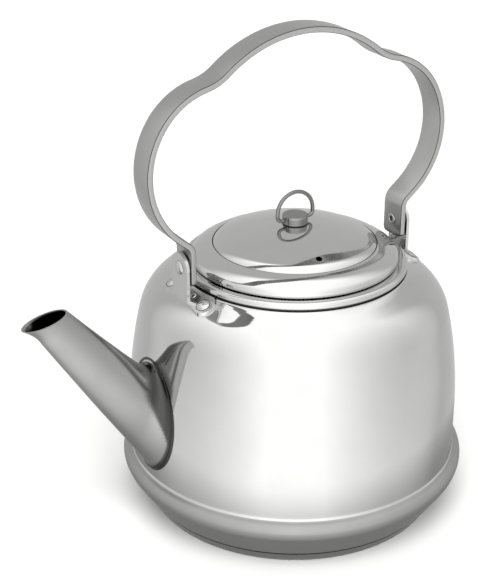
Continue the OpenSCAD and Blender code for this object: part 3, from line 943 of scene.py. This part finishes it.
@dataclass
class Spout:
    """The straight oval spout, flared into the wall and turned out at its lip."""

    body: Body
    reach: float = 135.1
    top: float = 129.9
    climb: float = 52.8
    mouth_a: float = 9.2
    mouth_b: float = 6.0
    root_a: float = 17.0
    root_b: float = 15.6
    flare_r: float = 7.0
    lip_turn: float = 3.4
    lip_zone: float = 9.0
    mouth_slope: float = 13.0
    hug_from: float = 12.0
    hug_full: float = 1.0
    flare_rings: int = 16
    flare_stop: float = 0.999
    tube_rings: int = 26
    lip_rings: int = 24
    rim_rings: int = 6
    rim_rise: float = 0.02
    # How dark the tube's inside is painted: painted shade in the bore.
    inside_shade: float = 0.85
    seam_gap: float = 0.25
    seam_r: float = 0.26
    seam_sides: int = 10
    turn_lead: float = 0.6
    flare_lift: float = 0.3
    lip_drop: float = 0.2
    sides: int = 120
    paint: SpoutPaint = SpoutPaint()

    def __post_init__(self) -> None:
        """Works out the spout's run and length."""
        self.run = self.reach - self.body.wall_r
        self.tan_climb = math.tan(math.radians(self.climb))
        self.length = self.run / math.cos(math.radians(self.climb))

    def _flare(self, gap: float) -> float:
        """Returns how far the root's fillet stands out at a distance from the wall."""
        r = self.flare_r
        return 0.0 if gap >= r else r * (1 - math.sqrt(1 - ((r - gap) / r) ** 2))

    def ring(self, gap: float, inset: float) -> list[tuple[float, float, float]]:
        """Draws one section of the spout.

        Args:
            gap: Distance outboard of the wall.
            inset: How far the section is drawn in on every side.

        Returns:
            The section's points.
        """
        s = (self.run - gap) / math.cos(math.radians(self.climb))
        q = min(1.0, max(0.0, gap / self.run))
        tilt = (1 + self.turn_lead) * q - self.turn_lead * q * q
        turn = math.radians(90 - (90 - self.mouth_slope) * tilt)
        skew = abs(math.sin(turn - math.radians(180 - self.climb)))
        out = self._flare(max(gap, 0.0))
        lip = 0.0 if s > self.lip_zone else self.lip_turn * (1 - s / self.lip_zone) ** 2
        share = s / self.length
        a = (self.mouth_a + (self.root_a - self.mouth_a) * share - inset) / skew
        a += self.flare_lift * out + lip / 2
        b = self.mouth_b + (self.root_b - self.mouth_b) * share - inset + out
        b += self.lip_drop * lip
        mid_x = -(self.body.wall_r + gap) - math.cos(turn) * lip / 2
        mid_z = self.top - (self.run - gap) * self.tan_climb - math.sin(turn) * lip / 2
        hug = smooth(self.hug_from, self.hug_full, gap)
        points = []
        for i in range(self.sides):
            t = 2 * math.pi * i / self.sides
            y = b * math.cos(t)
            x = mid_x + math.cos(turn) * a * math.sin(t)
            z = mid_z + math.sin(turn) * a * math.sin(t)
            wall = self.body.wall_at(z)
            x += hug * (self.body.wall_r - math.sqrt(wall * wall - y * y))
            points.append((x, y, z))
        return points

    def build(self) -> None:
        """Builds the spout's sheet and the brazed seam at its root."""
        tube = self.run - self.lip_zone - self.flare_r
        gaps = [self.flare_r * (1 - math.cos(math.pi / 2 * k / self.flare_rings))
                * self.flare_stop for k in range(self.flare_rings + 1)]
        gaps += [self.flare_r + tube * k / self.tube_rings for k in range(1, self.tube_rings + 1)]
        gaps += [self.run + self.lip_zone * (k / self.lip_rings - 1)
                 for k in range(1, self.lip_rings + 1)]
        outer = [self.ring(gap, 0.0) for gap in gaps]
        rim = self._rim(outer[-1], self.ring(self.run, self.body.sheet))
        inner = [self.ring(gap, self.body.sheet) for gap in reversed(gaps)]

        def shade(j: int, i: int) -> float:
            """Returns the paint on a point: painted shade inside, as the photograph shows the
            mouth.
            """
            if j < len(outer):
                return self.paint.at(gaps[j], 1 - gaps[j] / self.run, 360 * i / self.sides)
            return self.inside_shade if j > len(outer) + len(rim) + 1 else 0.0

        sheet = skin("spout_tube", outer + rim + inner, True, shade=shade)
        dress(sheet, [POLISHED_TUBE], "kettle", "polished_steel", "spout")
        # The brazed line at the root is drawn dark, as painted seam shade.
        dress(self._seam(), [SEAM_LINE], "kettle", "satin_steel")

    def _rim(self, outer: Sequence[Sequence[float]], inner: Sequence[Sequence[float]]
             ) -> list[list[tuple[float, float, float]]]:
        """Rounds the pouring edge between the outer and inner faces.

        Args:
            outer: Last section of the outer face.
            inner: Last section of the inner face.

        Returns:
            The sections between them.
        """
        rows = []
        for k in range(1, self.rim_rings):
            t = k / self.rim_rings
            rise = math.sin(math.pi * t) * self.rim_rise
            rows.append([(a[0] + (b[0] - a[0]) * t, a[1] + (b[1] - a[1]) * t,
                          a[2] + (b[2] - a[2]) * t + rise) for a, b in zip(outer, inner)])
        return rows

    def _seam(self) -> Piece:
        """Returns the thin brazed line where the root meets the wall."""
        root = self.ring(self.seam_gap, 0.0)
        rows = []
        for i, point in enumerate(root):
            spot = Vector(point)
            ahead = Vector(root[(i + 1) % len(root)]) - Vector(root[i - 1])
            ahead.normalize()
            out = Vector((spot.x, spot.y, 0.0)).normalized()
            side = ahead.cross(out).normalized()
            rows.append([spot + (out * math.cos(t) + side * math.sin(t)) * self.seam_r
                         for t in (2 * math.pi * k / self.seam_sides
                                   for k in range(self.seam_sides))])
        return skin("spout_seam", rows, True)


@dataclass
class Bail:
    """The flat bail: a strap of one bent strip with a raised grip."""

    width: float = 15.0
    thick: float = 3.0
    span: float = 120.6
    pivot_z: float = 140.8
    pivot_d: float = 4.4
    grip_z: float = 250.3
    grip_r: float = 66.4
    grip_turn: float = 39.45
    hollow_r: float = 26.2
    hollow_turn: float = 12.36
    corner_r: float = 37.6
    corner_turn: float = 57.05
    side_r: float = 42.9
    side_turn: float = 141.2
    bend_r: float = 7.0
    tail: float = 8.6
    tail_corner: float = 2.5
    tail_step: float = 0.2
    tail_turn: int = 10
    bend_turn: float = 2.5
    edge: float = 0.5
    edge_steps: int = 5
    hole_gap: float = 0.05
    drill_reach: float = 4.0
    hole_steps: int = 48
    corner_lean: Point = (0.3, 0.93)
    corner_in: float = 0.1

    def _bend(self, path: list[Point], r: float, start: float, end: float) -> None:
        """Adds an arc to a path, heading from start to end degrees below +X."""
        a, b = math.radians(start), math.radians(end)
        x, z = path[-1]
        cx, cz = x - r * math.sin(a), z - r * math.cos(a)
        count = max(3, math.ceil(abs(end - start) / self.bend_turn))
        for i in range(1, count + 1):
            h = a + (b - a) * i / count
            path.append((cx + r * math.sin(h), cz + r * math.cos(h)))

    def half_path(self) -> list[Point]:
        """Returns the strap's middle line from the top of the grip to one end."""
        end_x = self.span / 2 + self.thick / 2
        path: list[Point] = [(0.0, self.grip_z)]
        self._bend(path, self.grip_r, 0, self.grip_turn)
        self._bend(path, -self.hollow_r, self.grip_turn, self.hollow_turn)
        self._bend(path, self.corner_r, self.hollow_turn, self.corner_turn)
        self._bend(path, self.side_r, self.corner_turn, self.side_turn)
        turn = math.radians(self.side_turn)
        run = (path[-1][0] - end_x - self.bend_r * (1 - math.sin(turn))) / -math.cos(turn)
        path.append((path[-1][0] + run * math.cos(turn), path[-1][1] - run * math.sin(turn)))
        self._bend(path, -self.bend_r, self.side_turn, 90)
        low = self.pivot_z - self.tail
        path.append((end_x, low + self.tail_corner + self.tail_step))
        path += [(end_x, low + self.tail_corner * (1 - math.sin(math.radians(a))))
                 for a in range(0, 91, self.tail_turn)]
        return spaced(path, 2.0)

    def _section(self, half: float) -> list[Point]:
        """Returns the strap's rounded section for a half width."""
        t, e = self.thick / 2, self.edge
        points: list[Point] = []
        for cx, cy, start in ((t - e, half - e, 0), (-t + e, half - e, 90),
                              (-t + e, -half + e, 180), (t - e, -half + e, 270)):
            points += [polar((cx, cy), e, start + 90 * k / self.edge_steps)
                       for k in range(self.edge_steps + 1)]
        return points

    def build(self) -> None:
        """Builds the strap with its two pivot holes."""
        path = mirrored(self.half_path())
        low = self.pivot_z - self.tail
        flat = self.width / 2 - self.tail_corner

        def section(i: int) -> list[Point]:
            """Returns the outline at a point, narrower at the strap's ends."""
            rise = path[i].z - low
            if rise >= self.tail_corner:
                return self._section(self.width / 2)
            drop = self.tail_corner - rise
            return self._section(flat + math.sqrt(max(0.0, self.tail_corner ** 2 - drop ** 2)))

        strap = sweep("bail_strip", path, Vector((0, 1, 0)), section)
        for side in (-1, 1):
            place = Matrix.Translation((side * (self.span / 2 + self.thick / 2), 0, self.pivot_z))
            place = place @ Matrix.Rotation(math.radians(90), 4, "Y")
            drill(strap, self.pivot_d / 2 + self.hole_gap, (-self.drill_reach, self.drill_reach),
                  self.hole_steps, place)
        # The strap's rounded corners are drawn as painted edge shade.
        edge_y = self.width / 2 - self.edge - self.corner_in
        least, most = self.corner_lean
        dress(strap, (SATIN_STRIP, ROLLED_EDGE), "bail", "satin_steel", "bail_strap",
              mark=lambda centre, normal: least < abs(normal.y) < most and abs(centre.y) > edge_y)


@dataclass
class Ears:
    """The two ears: pressed plates, their rivets and the bail's pivots.

    The heads and tails of the rivets are head_flat and tail_flat times as wide as they are high,
    the tails without tail_more.
    """

    body: Body
    bail: Bail
    washer_t: float = 0.7
    ear_t: float = 1.6
    face_clear: float = 0.1
    foot_w: float = 10.0
    pivot_head_d: float = 7.4
    pivot_rise: float = 1.7
    pivot_tail: float = 0.7
    pivot_roll_d: float = 5.6
    pivot_roll_r: float = 0.35
    pivot_hole_d: float = 2.8
    pivot_hole_deep: float = 3.0
    pivot_hole_r: float = 0.25
    rivet_y: float = 15.5
    rivet_head_d: float = 6.8
    rivet_d: float = 3.6
    tack_y: float = 5.8
    tack_head_d: float = 3.6
    tack_d: float = 2.2
    head_flat: float = 6.0
    tail_flat: float = 4.0
    tail_more: float = 1.6
    tail_gap: float = 0.05
    ring_w: float = 0.3
    ring_t: float = 0.06
    rivet_steps: int = 40
    pivot_steps: int = 48

    def __post_init__(self) -> None:
        """Works out where the ears stand."""
        self.ear_in = self.bail.span / 2 + self.bail.thick + self.washer_t + 2 * self.face_clear
        self.ear_out = self.ear_in + self.ear_t
        self.foot_mid = self.ear_out - self.foot_w / 2

    def _dome(self, across: float, rise: float, base: float) -> list[Point]:
        """Returns the outline of a domed head.

        Args:
            across: Diameter of the head.
            rise: Height of the dome.
            base: Height of the head's flat side.

        Returns:
            Points from the edge to the middle of the dome.
        """
        r = (across * across / 4 + rise * rise) / (2 * rise)
        start = math.degrees(math.asin((r - rise) / r))
        return [(across / 2, base)] + arc((0.0, base + rise - r), r, start, 90, 4.0)

    def _on_shoulder(self, x: float, y: float) -> Matrix:
        """Returns the place on the shoulder at (x, y), square to its cone."""
        spot = Vector((x, y, self.body.cone_at(math.hypot(x, y))))
        turn = Matrix.Rotation(math.atan2(y, x), 4, "Z")
        lean = Matrix.Rotation(math.radians(self.body.shoulder_slope), 4, "Y")
        return Matrix.Translation(spot) @ turn @ lean

    def _sheet_rivets(self, name: str, side: int, reach: float, shank: float,
                      head: float) -> Piece:
        """Builds a pair of rivets through a foot plate.

        Args:
            name: Name of the piece.
            side: -1 for the spout's side, 1 for the other.
            reach: Distance from the ear's middle.
            shank: Diameter of the shank.
            head: Diameter of the head.

        Returns:
            Both rivets as one piece.
        """
        tail, tail_r = shank / self.tail_flat, (shank + self.tail_more) / 2
        low = -self.body.sheet - self.tail_gap - tail
        ring_r, ring_top = head / 2 + self.ring_w, self.ear_t + self.ring_t
        path = [(0.0, low), (tail_r, low), (tail_r, low + tail), (shank / 2, low + tail)]
        path += [(shank / 2, self.ear_t), (ring_r, self.ear_t), (ring_r, ring_top)]
        path += self._dome(head, head / self.head_flat, ring_top)
        pair = []
        for k, sign in enumerate((-1, 1)):
            place = self._on_shoulder(side * self.foot_mid, sign * reach)
            rivet = revolve(f"{name}_{k}", path, self.rivet_steps, place=place)
            back = place.inverted()
            # The rim round each head is drawn as painted seam shade.
            for face in rivet.data.polygons:
                spot = back @ (face.center / MM)
                ring = spot.z > self.ear_t - TINY and spot.xy.length > head / 2 - 2 * TINY
                face.material_index = 1 if ring else 0
            pair.append(rivet)
        return merged(name, pair)

    def _pivot(self, name: str, side: int) -> Piece:
        """Builds a pivot rivet: domed outside, rolled over on the strap's inner face.

        Args:
            name: Name of the piece.
            side: -1 for the spout's side, 1 for the other.

        Returns:
            The rivet.
        """
        low = self.bail.span / 2 - self.pivot_tail - self.face_clear
        head = self.ear_out + self.face_clear
        hole, hole_r = self.pivot_hole_d / 2, self.pivot_hole_r
        roll, roll_r = self.pivot_roll_d / 2 - self.pivot_roll_r, self.pivot_roll_r
        deep = low + self.pivot_hole_deep
        path = [(0.0, deep), (hole, deep), (hole, low + hole_r)]
        path += arc((hole + hole_r, low + hole_r), hole_r, 180, 270, 30.0)
        path += [(roll, low)] + arc((roll, low + roll_r), roll_r, -90, 90, 22.0)
        path += [(self.bail.pivot_d / 2, low + self.pivot_tail), (self.bail.pivot_d / 2, head)]
        path += self._dome(self.pivot_head_d, self.pivot_rise, head)
        place = Matrix.Translation((0, 0, self.bail.pivot_z)) @ Matrix.Rotation(
            math.radians(side * 90), 4, "Y")
        return revolve(name, path, self.pivot_steps, closed=False, place=place)

    def build(self, frame: dict[str, Any]) -> None:
        """Builds the rivets and dresses the ears and washers.

        Args:
            frame: The loaded frame.
        """
        pairs = (("foot", self.rivet_y, self.rivet_d, self.rivet_head_d),
                 ("tack", self.tack_y, self.tack_d, self.tack_head_d))
        for side, word in ((-1, "front"), (1, "back")):
            for kind, reach, shank, head in pairs:
                rivets = self._sheet_rivets(f"{word}_{kind}_heads", side, reach, shank, head)
                dress(rivets, (HEADED_RIVET, SEAM_LINE), "kettle", "rivet_steel",
                      f"{word}_{kind}_rivets")
            dress(self._pivot(f"{word}_pivot_pin", side), [HEADED_RIVET], "kettle",
                  "rivet_steel", f"{word}_pivot_rivet")
            finish_node(frame, f"{word}_ear", TUMBLED_PLATE)
            finish_node(frame, f"{word}_washer", HEADED_RIVET)


@dataclass
class Lid:
    """The lift-off lid: a low dome, a steeper edge, a creased flange with a bead, and a vent."""

    body: Body
    rim_r: float = 52.4
    gap: float = 0.3
    rise: float = 17.85
    dome_arc_r: float = 102.0
    dome_r: float = 37.2
    edge_slope: float = 47.0
    edge_roll_r: float = 11.0
    flange_slope: float = 12.7
    flange_arc_r: float = 26.2
    turn_slope: float = 35.0
    turn_r: float = 3.3
    rim_flat: float = 1.25
    lift: float = 0.35
    seam_depth: float = 0.5
    vent_d: float = 3.2
    vent_reach: float = 34.0
    vent_dir: float = 258.0
    vent_z: float = 8.0
    vent_cut: Point = (-8.0, 14.0)
    stud_d: float = 12.9
    pad_gap: float = 0.4
    face_down: float = -0.25
    rim_edge: float = 0.2
    vent_steps: int = 40
    steps: int = 240

    def __post_init__(self) -> None:
        """Works out the rim's and the stud's heights."""
        self.rim_z = self.body.crest_z + self.gap
        self.pad_r = self.stud_d / 2 + self.pad_gap
        self.dome_c = (0.0, self.rim_z + self.rise - self.dome_arc_r)
        self.stud_z = self.dome_c[1] + math.sqrt(self.dome_arc_r ** 2 - self.pad_r ** 2)

    def outer_path(self) -> list[Point]:
        """Returns the lid's outer face, from the rim to the pad under the stud."""
        pad = math.degrees(math.asin(self.pad_r / self.dome_arc_r))
        dome = math.degrees(math.asin(self.dome_r / self.dome_arc_r))
        roll_c = polar(self.dome_c, self.dome_arc_r - self.edge_roll_r, 90 - dome)
        edge = polar(roll_c, self.edge_roll_r, 90 - self.edge_slope)
        rim = (self.rim_r, self.rim_z + self.rim_flat)
        turn_c = (self.rim_r - self.turn_r, rim[1])
        turn = polar(turn_c, self.turn_r, 90 - self.turn_slope)
        face_c = polar(turn, -self.flange_arc_r, 90 - self.turn_slope)
        path = [(self.rim_r, self.rim_z + self.lift), rim]
        path += arc(turn_c, self.turn_r, 0, 90 - self.turn_slope)
        path += arc(face_c, self.flange_arc_r, 90 - self.turn_slope, 90 - self.flange_slope, 0.8)
        crease = path[-1]
        path += [((crease[0] + edge[0]) / 2, crease[1] - self.seam_depth), edge]
        self.seam = (edge[0], crease[0], crease[1] - self.seam_depth)
        path += arc(roll_c, self.edge_roll_r, 90 - self.edge_slope, 90 - dome, 1.5)
        path += arc(self.dome_c, self.dome_arc_r, 90 - dome, 90 - pad, 0.6)
        return path + [(0.0, self.stud_z)]

    def _mark(self, centre: Vector, normal: Vector) -> int:
        """Says which finish a face of the lid has: 2 for the painted shade in the crease, 1
        underneath, 0 outside.
        """
        inner, outer, low = self.seam
        if inner < centre.xy.length < outer and centre.z > low:
            return 2
        return 1 if normal.z < self.face_down and centre.z > self.rim_z + self.rim_edge else 0

    def build(self, frame: dict[str, Any]) -> None:
        """Builds the lid's sheet with its vent, and dresses the collar and the washer.

        Args:
            frame: The loaded frame.
        """
        outer = self.outer_path()
        inner = beside(outer, self.body.sheet)
        inner[-1] = (0.0, self.stud_z - self.body.sheet)
        inner[0] = (self.rim_r - self.body.sheet, self.rim_z)
        path = spaced(outer, 1.2) + list(reversed(inner))
        sheet = revolve("lid_sheet", path, self.steps)
        x, y = polar((0.0, 0.0), self.vent_reach, self.vent_dir)
        drill(sheet, self.vent_d / 2, self.vent_cut, self.vent_steps,
              Matrix.Translation((x, y, self.rim_z + self.vent_z)))
        dress(sheet, (BUFFED_SHEET, PICKLED_INSIDE, UNBUFFED_CREASE), "lid", "polished_steel",
              "lid_shell", mark=self._mark)
        finish_node(frame, "lid_collar", PICKLED_INSIDE)
        finish_node(frame, "stud_washer", HEADED_RIVET)


@dataclass
class Knob:
    """The stud on the lid and the wire ring that turns in it."""

    lid: Lid
    height: float = 4.8
    edge: float = 0.5
    wire: float = 2.0
    ring_w: float = 22.6
    ring_h: float = 15.1
    corner: float = 2.4
    bite: float = 2.8
    foot_line: float = 0.55
    foot_corner: float = 0.2
    tail_r: float = 2.5
    tail_head_r: float = 3.3
    tail_head_t: float = 1.0
    tail_deep: float = 2.0
    line_in: float = 0.3
    steps: int = 96
    wire_sides: int = 24

    def build(self) -> None:
        """Builds the turned stud and the ring."""
        foot = self.lid.stud_z
        top, r = foot + self.height, self.lid.stud_d / 2
        end = foot - self.lid.body.sheet - self.tail_deep
        path = [(0.0, end), (self.tail_head_r, end), (self.tail_head_r, end + self.tail_head_t)]
        path += [(self.tail_r, end + self.tail_head_t), (self.tail_r, foot)]
        path += [(r - self.foot_corner, foot), (r, foot + self.foot_corner)]
        path += [(r, foot + self.foot_line), (r, top - self.edge)]
        path += arc((r - self.edge, top - self.edge), self.edge, 0, 90, 15.0)
        path += [(0.0, top)]
        stud = revolve("stud_turned", spaced(path, 1.0), self.steps, closed=False)
        # A thin band at the stud's foot is drawn as painted seam shade.
        dress(stud, (TURNED_STUD, SEAM_LINE), "lid", "turned_steel", "lid_stud",
              mark=lambda centre, normal: (foot < centre.z < foot + self.foot_line
                                           and centre.xy.length > r - self.line_in))
        dress(self._ring(), [BRIGHT_WIRE], "ring", "wire_steel", "lid_ring")

    def _ring(self) -> Piece:
        """Builds the wire ring: a half circle, two corners and two ends in the stud."""
        wire_r = self.wire / 2
        reach = self.ring_w / 2 - wire_r
        crown = self.ring_h - wire_r - reach
        middle = self.lid.stud_z + self.height / 2
        half: list[Point] = [(0.0, crown + reach)]
        half += arc((0.0, crown), reach, 90, 0, 4.0)
        if crown > self.corner:
            half += [(reach, self.corner)]
        half += arc((reach - self.corner, self.corner), self.corner, 0, -90, 8.0)
        half += [(self.lid.stud_d / 2 - self.bite, 0.0)]
        path = mirrored(spaced(half, 1.0), middle)
        round_wire = [polar((0.0, 0.0), wire_r, 360 * k / self.wire_sides)
                      for k in range(self.wire_sides)]
        return sweep("ring_wire", path, Vector((0, 1, 0)), lambda i: round_wire)


# ---- studio -----------------------------------------------------------------


@dataclass(frozen=True)
class Softbox:
    """A soft rectangular light, hung in the upright plane through the camera and the kettle.

    Distances are in millimetres from the kettle's axis, towards the camera.
    """

    name: str
    out: float
    height: float
    aim: float
    size: Point
    power: float

    def hang(self, front: Vector) -> None:
        """Hangs the light, facing the floor at its aim and hidden from view and reflections.

        Args:
            front: Level direction from the kettle to the camera.
        """
        lamp = bpy.data.lights.new(self.name, "AREA")
        lamp.shape = "RECTANGLE"
        lamp.size, lamp.size_y = self.size[0] * MM, self.size[1] * MM
        lamp.energy = self.power
        light = bpy.data.objects.new(self.name, lamp)
        spot = front * self.out + Vector((0, 0, 1)) * self.height
        light.location = spot * MM
        look_against(light, spot - front * self.aim)
        light.visible_camera = False
        light.visible_glossy = False
        bpy.context.scene.collection.objects.link(light)


# The floor's lights: one over it in front, one far behind and one overhead.
SOFTBOXES = (Softbox("apron", 900.0, 1100.0, 100.0, (1200.0, 900.0), 25.0),
             Softbox("far", -1700.0, 1100.0, -1700.0, (2600.0, 900.0), 30.0),
             Softbox("sky", 0.0, 2400.0, 0.0, (2600.0, 2600.0), 30.0))


def look_against(target: Piece, back: Vector) -> None:
    """Turns a camera or light so that it looks against the given direction."""
    target.rotation_euler = back.to_track_quat("Z", "Y").to_euler()


def flat_board(name: str, half: float, z: float, material: bpy.types.Material) -> Piece:
    """Lays a flat square of one face, in metres.

    Args:
        name: Name of the square.
        half: Half its width.
        z: Its height.
        material: Its material.

    Returns:
        The new object.
    """
    mesh = bpy.data.meshes.new(name)
    corners = ((-half, -half), (half, -half), (half, half), (-half, half))
    mesh.from_pydata([(x, y, z) for x, y in corners], [], [(0, 1, 2, 3)])
    mesh.materials.append(material)
    board = bpy.data.objects.new(name, mesh)
    bpy.context.scene.collection.objects.link(board)
    return board


@dataclass
class Studio:
    """A pale floor, soft light and the camera at the photograph's angle.

    It isn't physical. Apart from a shade near the foot, what the steel reflects depends on
    direction alone, and the floor and the lights don't show in it. That was fitted to the
    photograph, whose own studio isn't known.
    """

    eye: tuple[float, float, float] = (-351.1, -551.6, 419.2)
    back: tuple[float, float, float] = (-0.4535, -0.7836, 0.4246)
    lens: float = 86.97
    floor: str = "#ececeb"
    floor_half: float = 6.0
    speck_mm: float = 25.0
    walls: float = 0.63
    screen: float = 1.64
    screen_top: float = 108.0
    side_start: float = 0.30
    side_end: float = 1.15
    top_blur: float = 0.105
    side_blur: float = 0.9
    shade: float = 0.85
    shade_start: float = -0.45
    shade_full: float = -0.85
    near_dark: float = 0.55
    near_start: float = 0.115
    near_end: float = 0.167
    near_half: float = 0.4
    near_z: float = -0.0005

    def build(self) -> None:
        """Sets up the camera, the floor, the room and the lights."""
        scene = bpy.context.scene
        camera = bpy.data.objects.new("camera", bpy.data.cameras.new("camera"))
        camera.data.lens = self.lens
        camera.data.sensor_width = 36.0
        camera.data.sensor_fit = "AUTO"
        camera.data.clip_end = 50.0
        camera.location = Vector(self.eye) * MM
        look_against(camera, Vector(self.back))
        scene.collection.objects.link(camera)
        scene.camera = camera
        scene.view_settings.view_transform = "Standard"
        front = Vector((self.back[0], self.back[1], 0.0)).normalized()
        self._floor()
        self._near_floor()
        self._room(front)
        for softbox in SOFTBOXES:
            softbox.hang(front)

    def _floor(self) -> None:
        """Lays the floor, a very slightly uneven painted board."""
        material = blank("painted_board")
        tree = material.node_tree
        speck = noise(tree, add(tree, "TexCoord").outputs["Object"], self.speck_mm, 3.0)
        bump = add(tree, "Bump", {"Height": speck.outputs["Fac"], "Strength": 0.1,
                                  "Distance": 0.1 * MM})
        paint = add(tree, "BsdfPrincipled",
                    {"Base Color": linear(self.floor), "Roughness": 0.7,
                     "Specular IOR Level": 0.2, "Normal": bump.outputs["Normal"]})
        add(tree, "OutputMaterial", {"Surface": paint.outputs["BSDF"]})
        floor = flat_board("floor", self.floor_half, 0.0, material)
        floor.visible_glossy = False
        floor.visible_shadow = False

    def _near_floor(self) -> None:
        """Darkens what the steel reflects of the floor close to the kettle.

        A grey veil just under the floor does it. Reflections pass through it, and the camera
        doesn't see it.
        """
        material = blank("floor_shade")
        tree = material.node_tree
        away = vector(tree, "LENGTH", add(tree, "TexCoord").outputs["Object"])
        clear = ramp(tree, away.outputs["Value"], (self.near_start, self.near_end),
                     (self.near_dark, 1.0), soft=True)
        veil = add(tree, "BsdfTransparent", {"Color": clear})
        add(tree, "OutputMaterial", {"Surface": veil.outputs["BSDF"]})
        sheet = flat_board("floor_shade", self.near_half, self.near_z, material)
        sheet.visible_camera = False
        sheet.visible_diffuse = False

    def _room(self, front: Vector) -> None:
        """Sets what the steel reflects: a white screen in front, grey walls and a shaded floor.

        The screen reaches from the floor to just past the zenith and fades to the sides, and
        the floor darkens close under the kettle. The floor itself is lit by the softboxes.

        Args:
            front: Level direction from the kettle to the camera.
        """
        world = bpy.data.worlds.new("room")
        world.use_nodes = True
        tree = world.node_tree
        tree.nodes.clear()
        way = add(tree, "TexCoord").outputs["Generated"]
        turn = math.radians(self.screen_top)
        past = -math.sin(turn) * front + math.cos(turn) * Vector((0, 0, 1))
        beyond = vector(tree, "DOT_PRODUCT", way, past).outputs["Value"]
        aside = vector(tree, "DOT_PRODUCT", way, (-front.y, front.x, 0.0)).outputs["Value"]
        off = calc(tree, "ABSOLUTE", aside)
        wide = calc(tree, "MULTIPLY_ADD", calc(tree, "POWER", off, 2.0), self.side_blur,
                    self.top_blur)
        top = ramp(tree, calc(tree, "DIVIDE", beyond, wide), (1.0, 0.0), (0.0, 1.0), soft=True)
        sides = ramp(tree, off, (self.side_start, self.side_end), (1.0, 0.0))
        share = calc(tree, "MULTIPLY", top, sides)
        lit = ramp(tree, share, (0.0, 1.0), (self.walls, self.screen))
        height = add(tree, "SeparateXYZ", {0: way}).outputs["Z"]
        ground = ramp(tree, height, (self.shade_full, self.shade_start), (self.shade, 1.0),
                      soft=True)
        light = add(tree, "Background", {"Color": (1.0, 1.0, 1.0, 1.0),
                                         "Strength": calc(tree, "MULTIPLY", lit, ground)})
        add(tree, "OutputWorld", {"Surface": light.outputs["Background"]})
        world.cycles_visibility.diffuse = False
        bpy.context.scene.world = world


def main() -> None:
    """Builds the kettle over its CAD frame and sets up the studio."""
    logging.basicConfig(level=logging.INFO, format="%(name)s: %(message)s")
    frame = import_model()
    body = Body()
    body.build()
    finish_node(frame, "base_core", CAST_CORE)
    Spout(body).build()
    bail = Bail()
    Ears(body, bail).build(frame)
    bail.build()
    lid = Lid(body)
    lid.build(frame)
    Knob(lid).build()
    Studio().build()


if __name__ == "__main__":
    main()
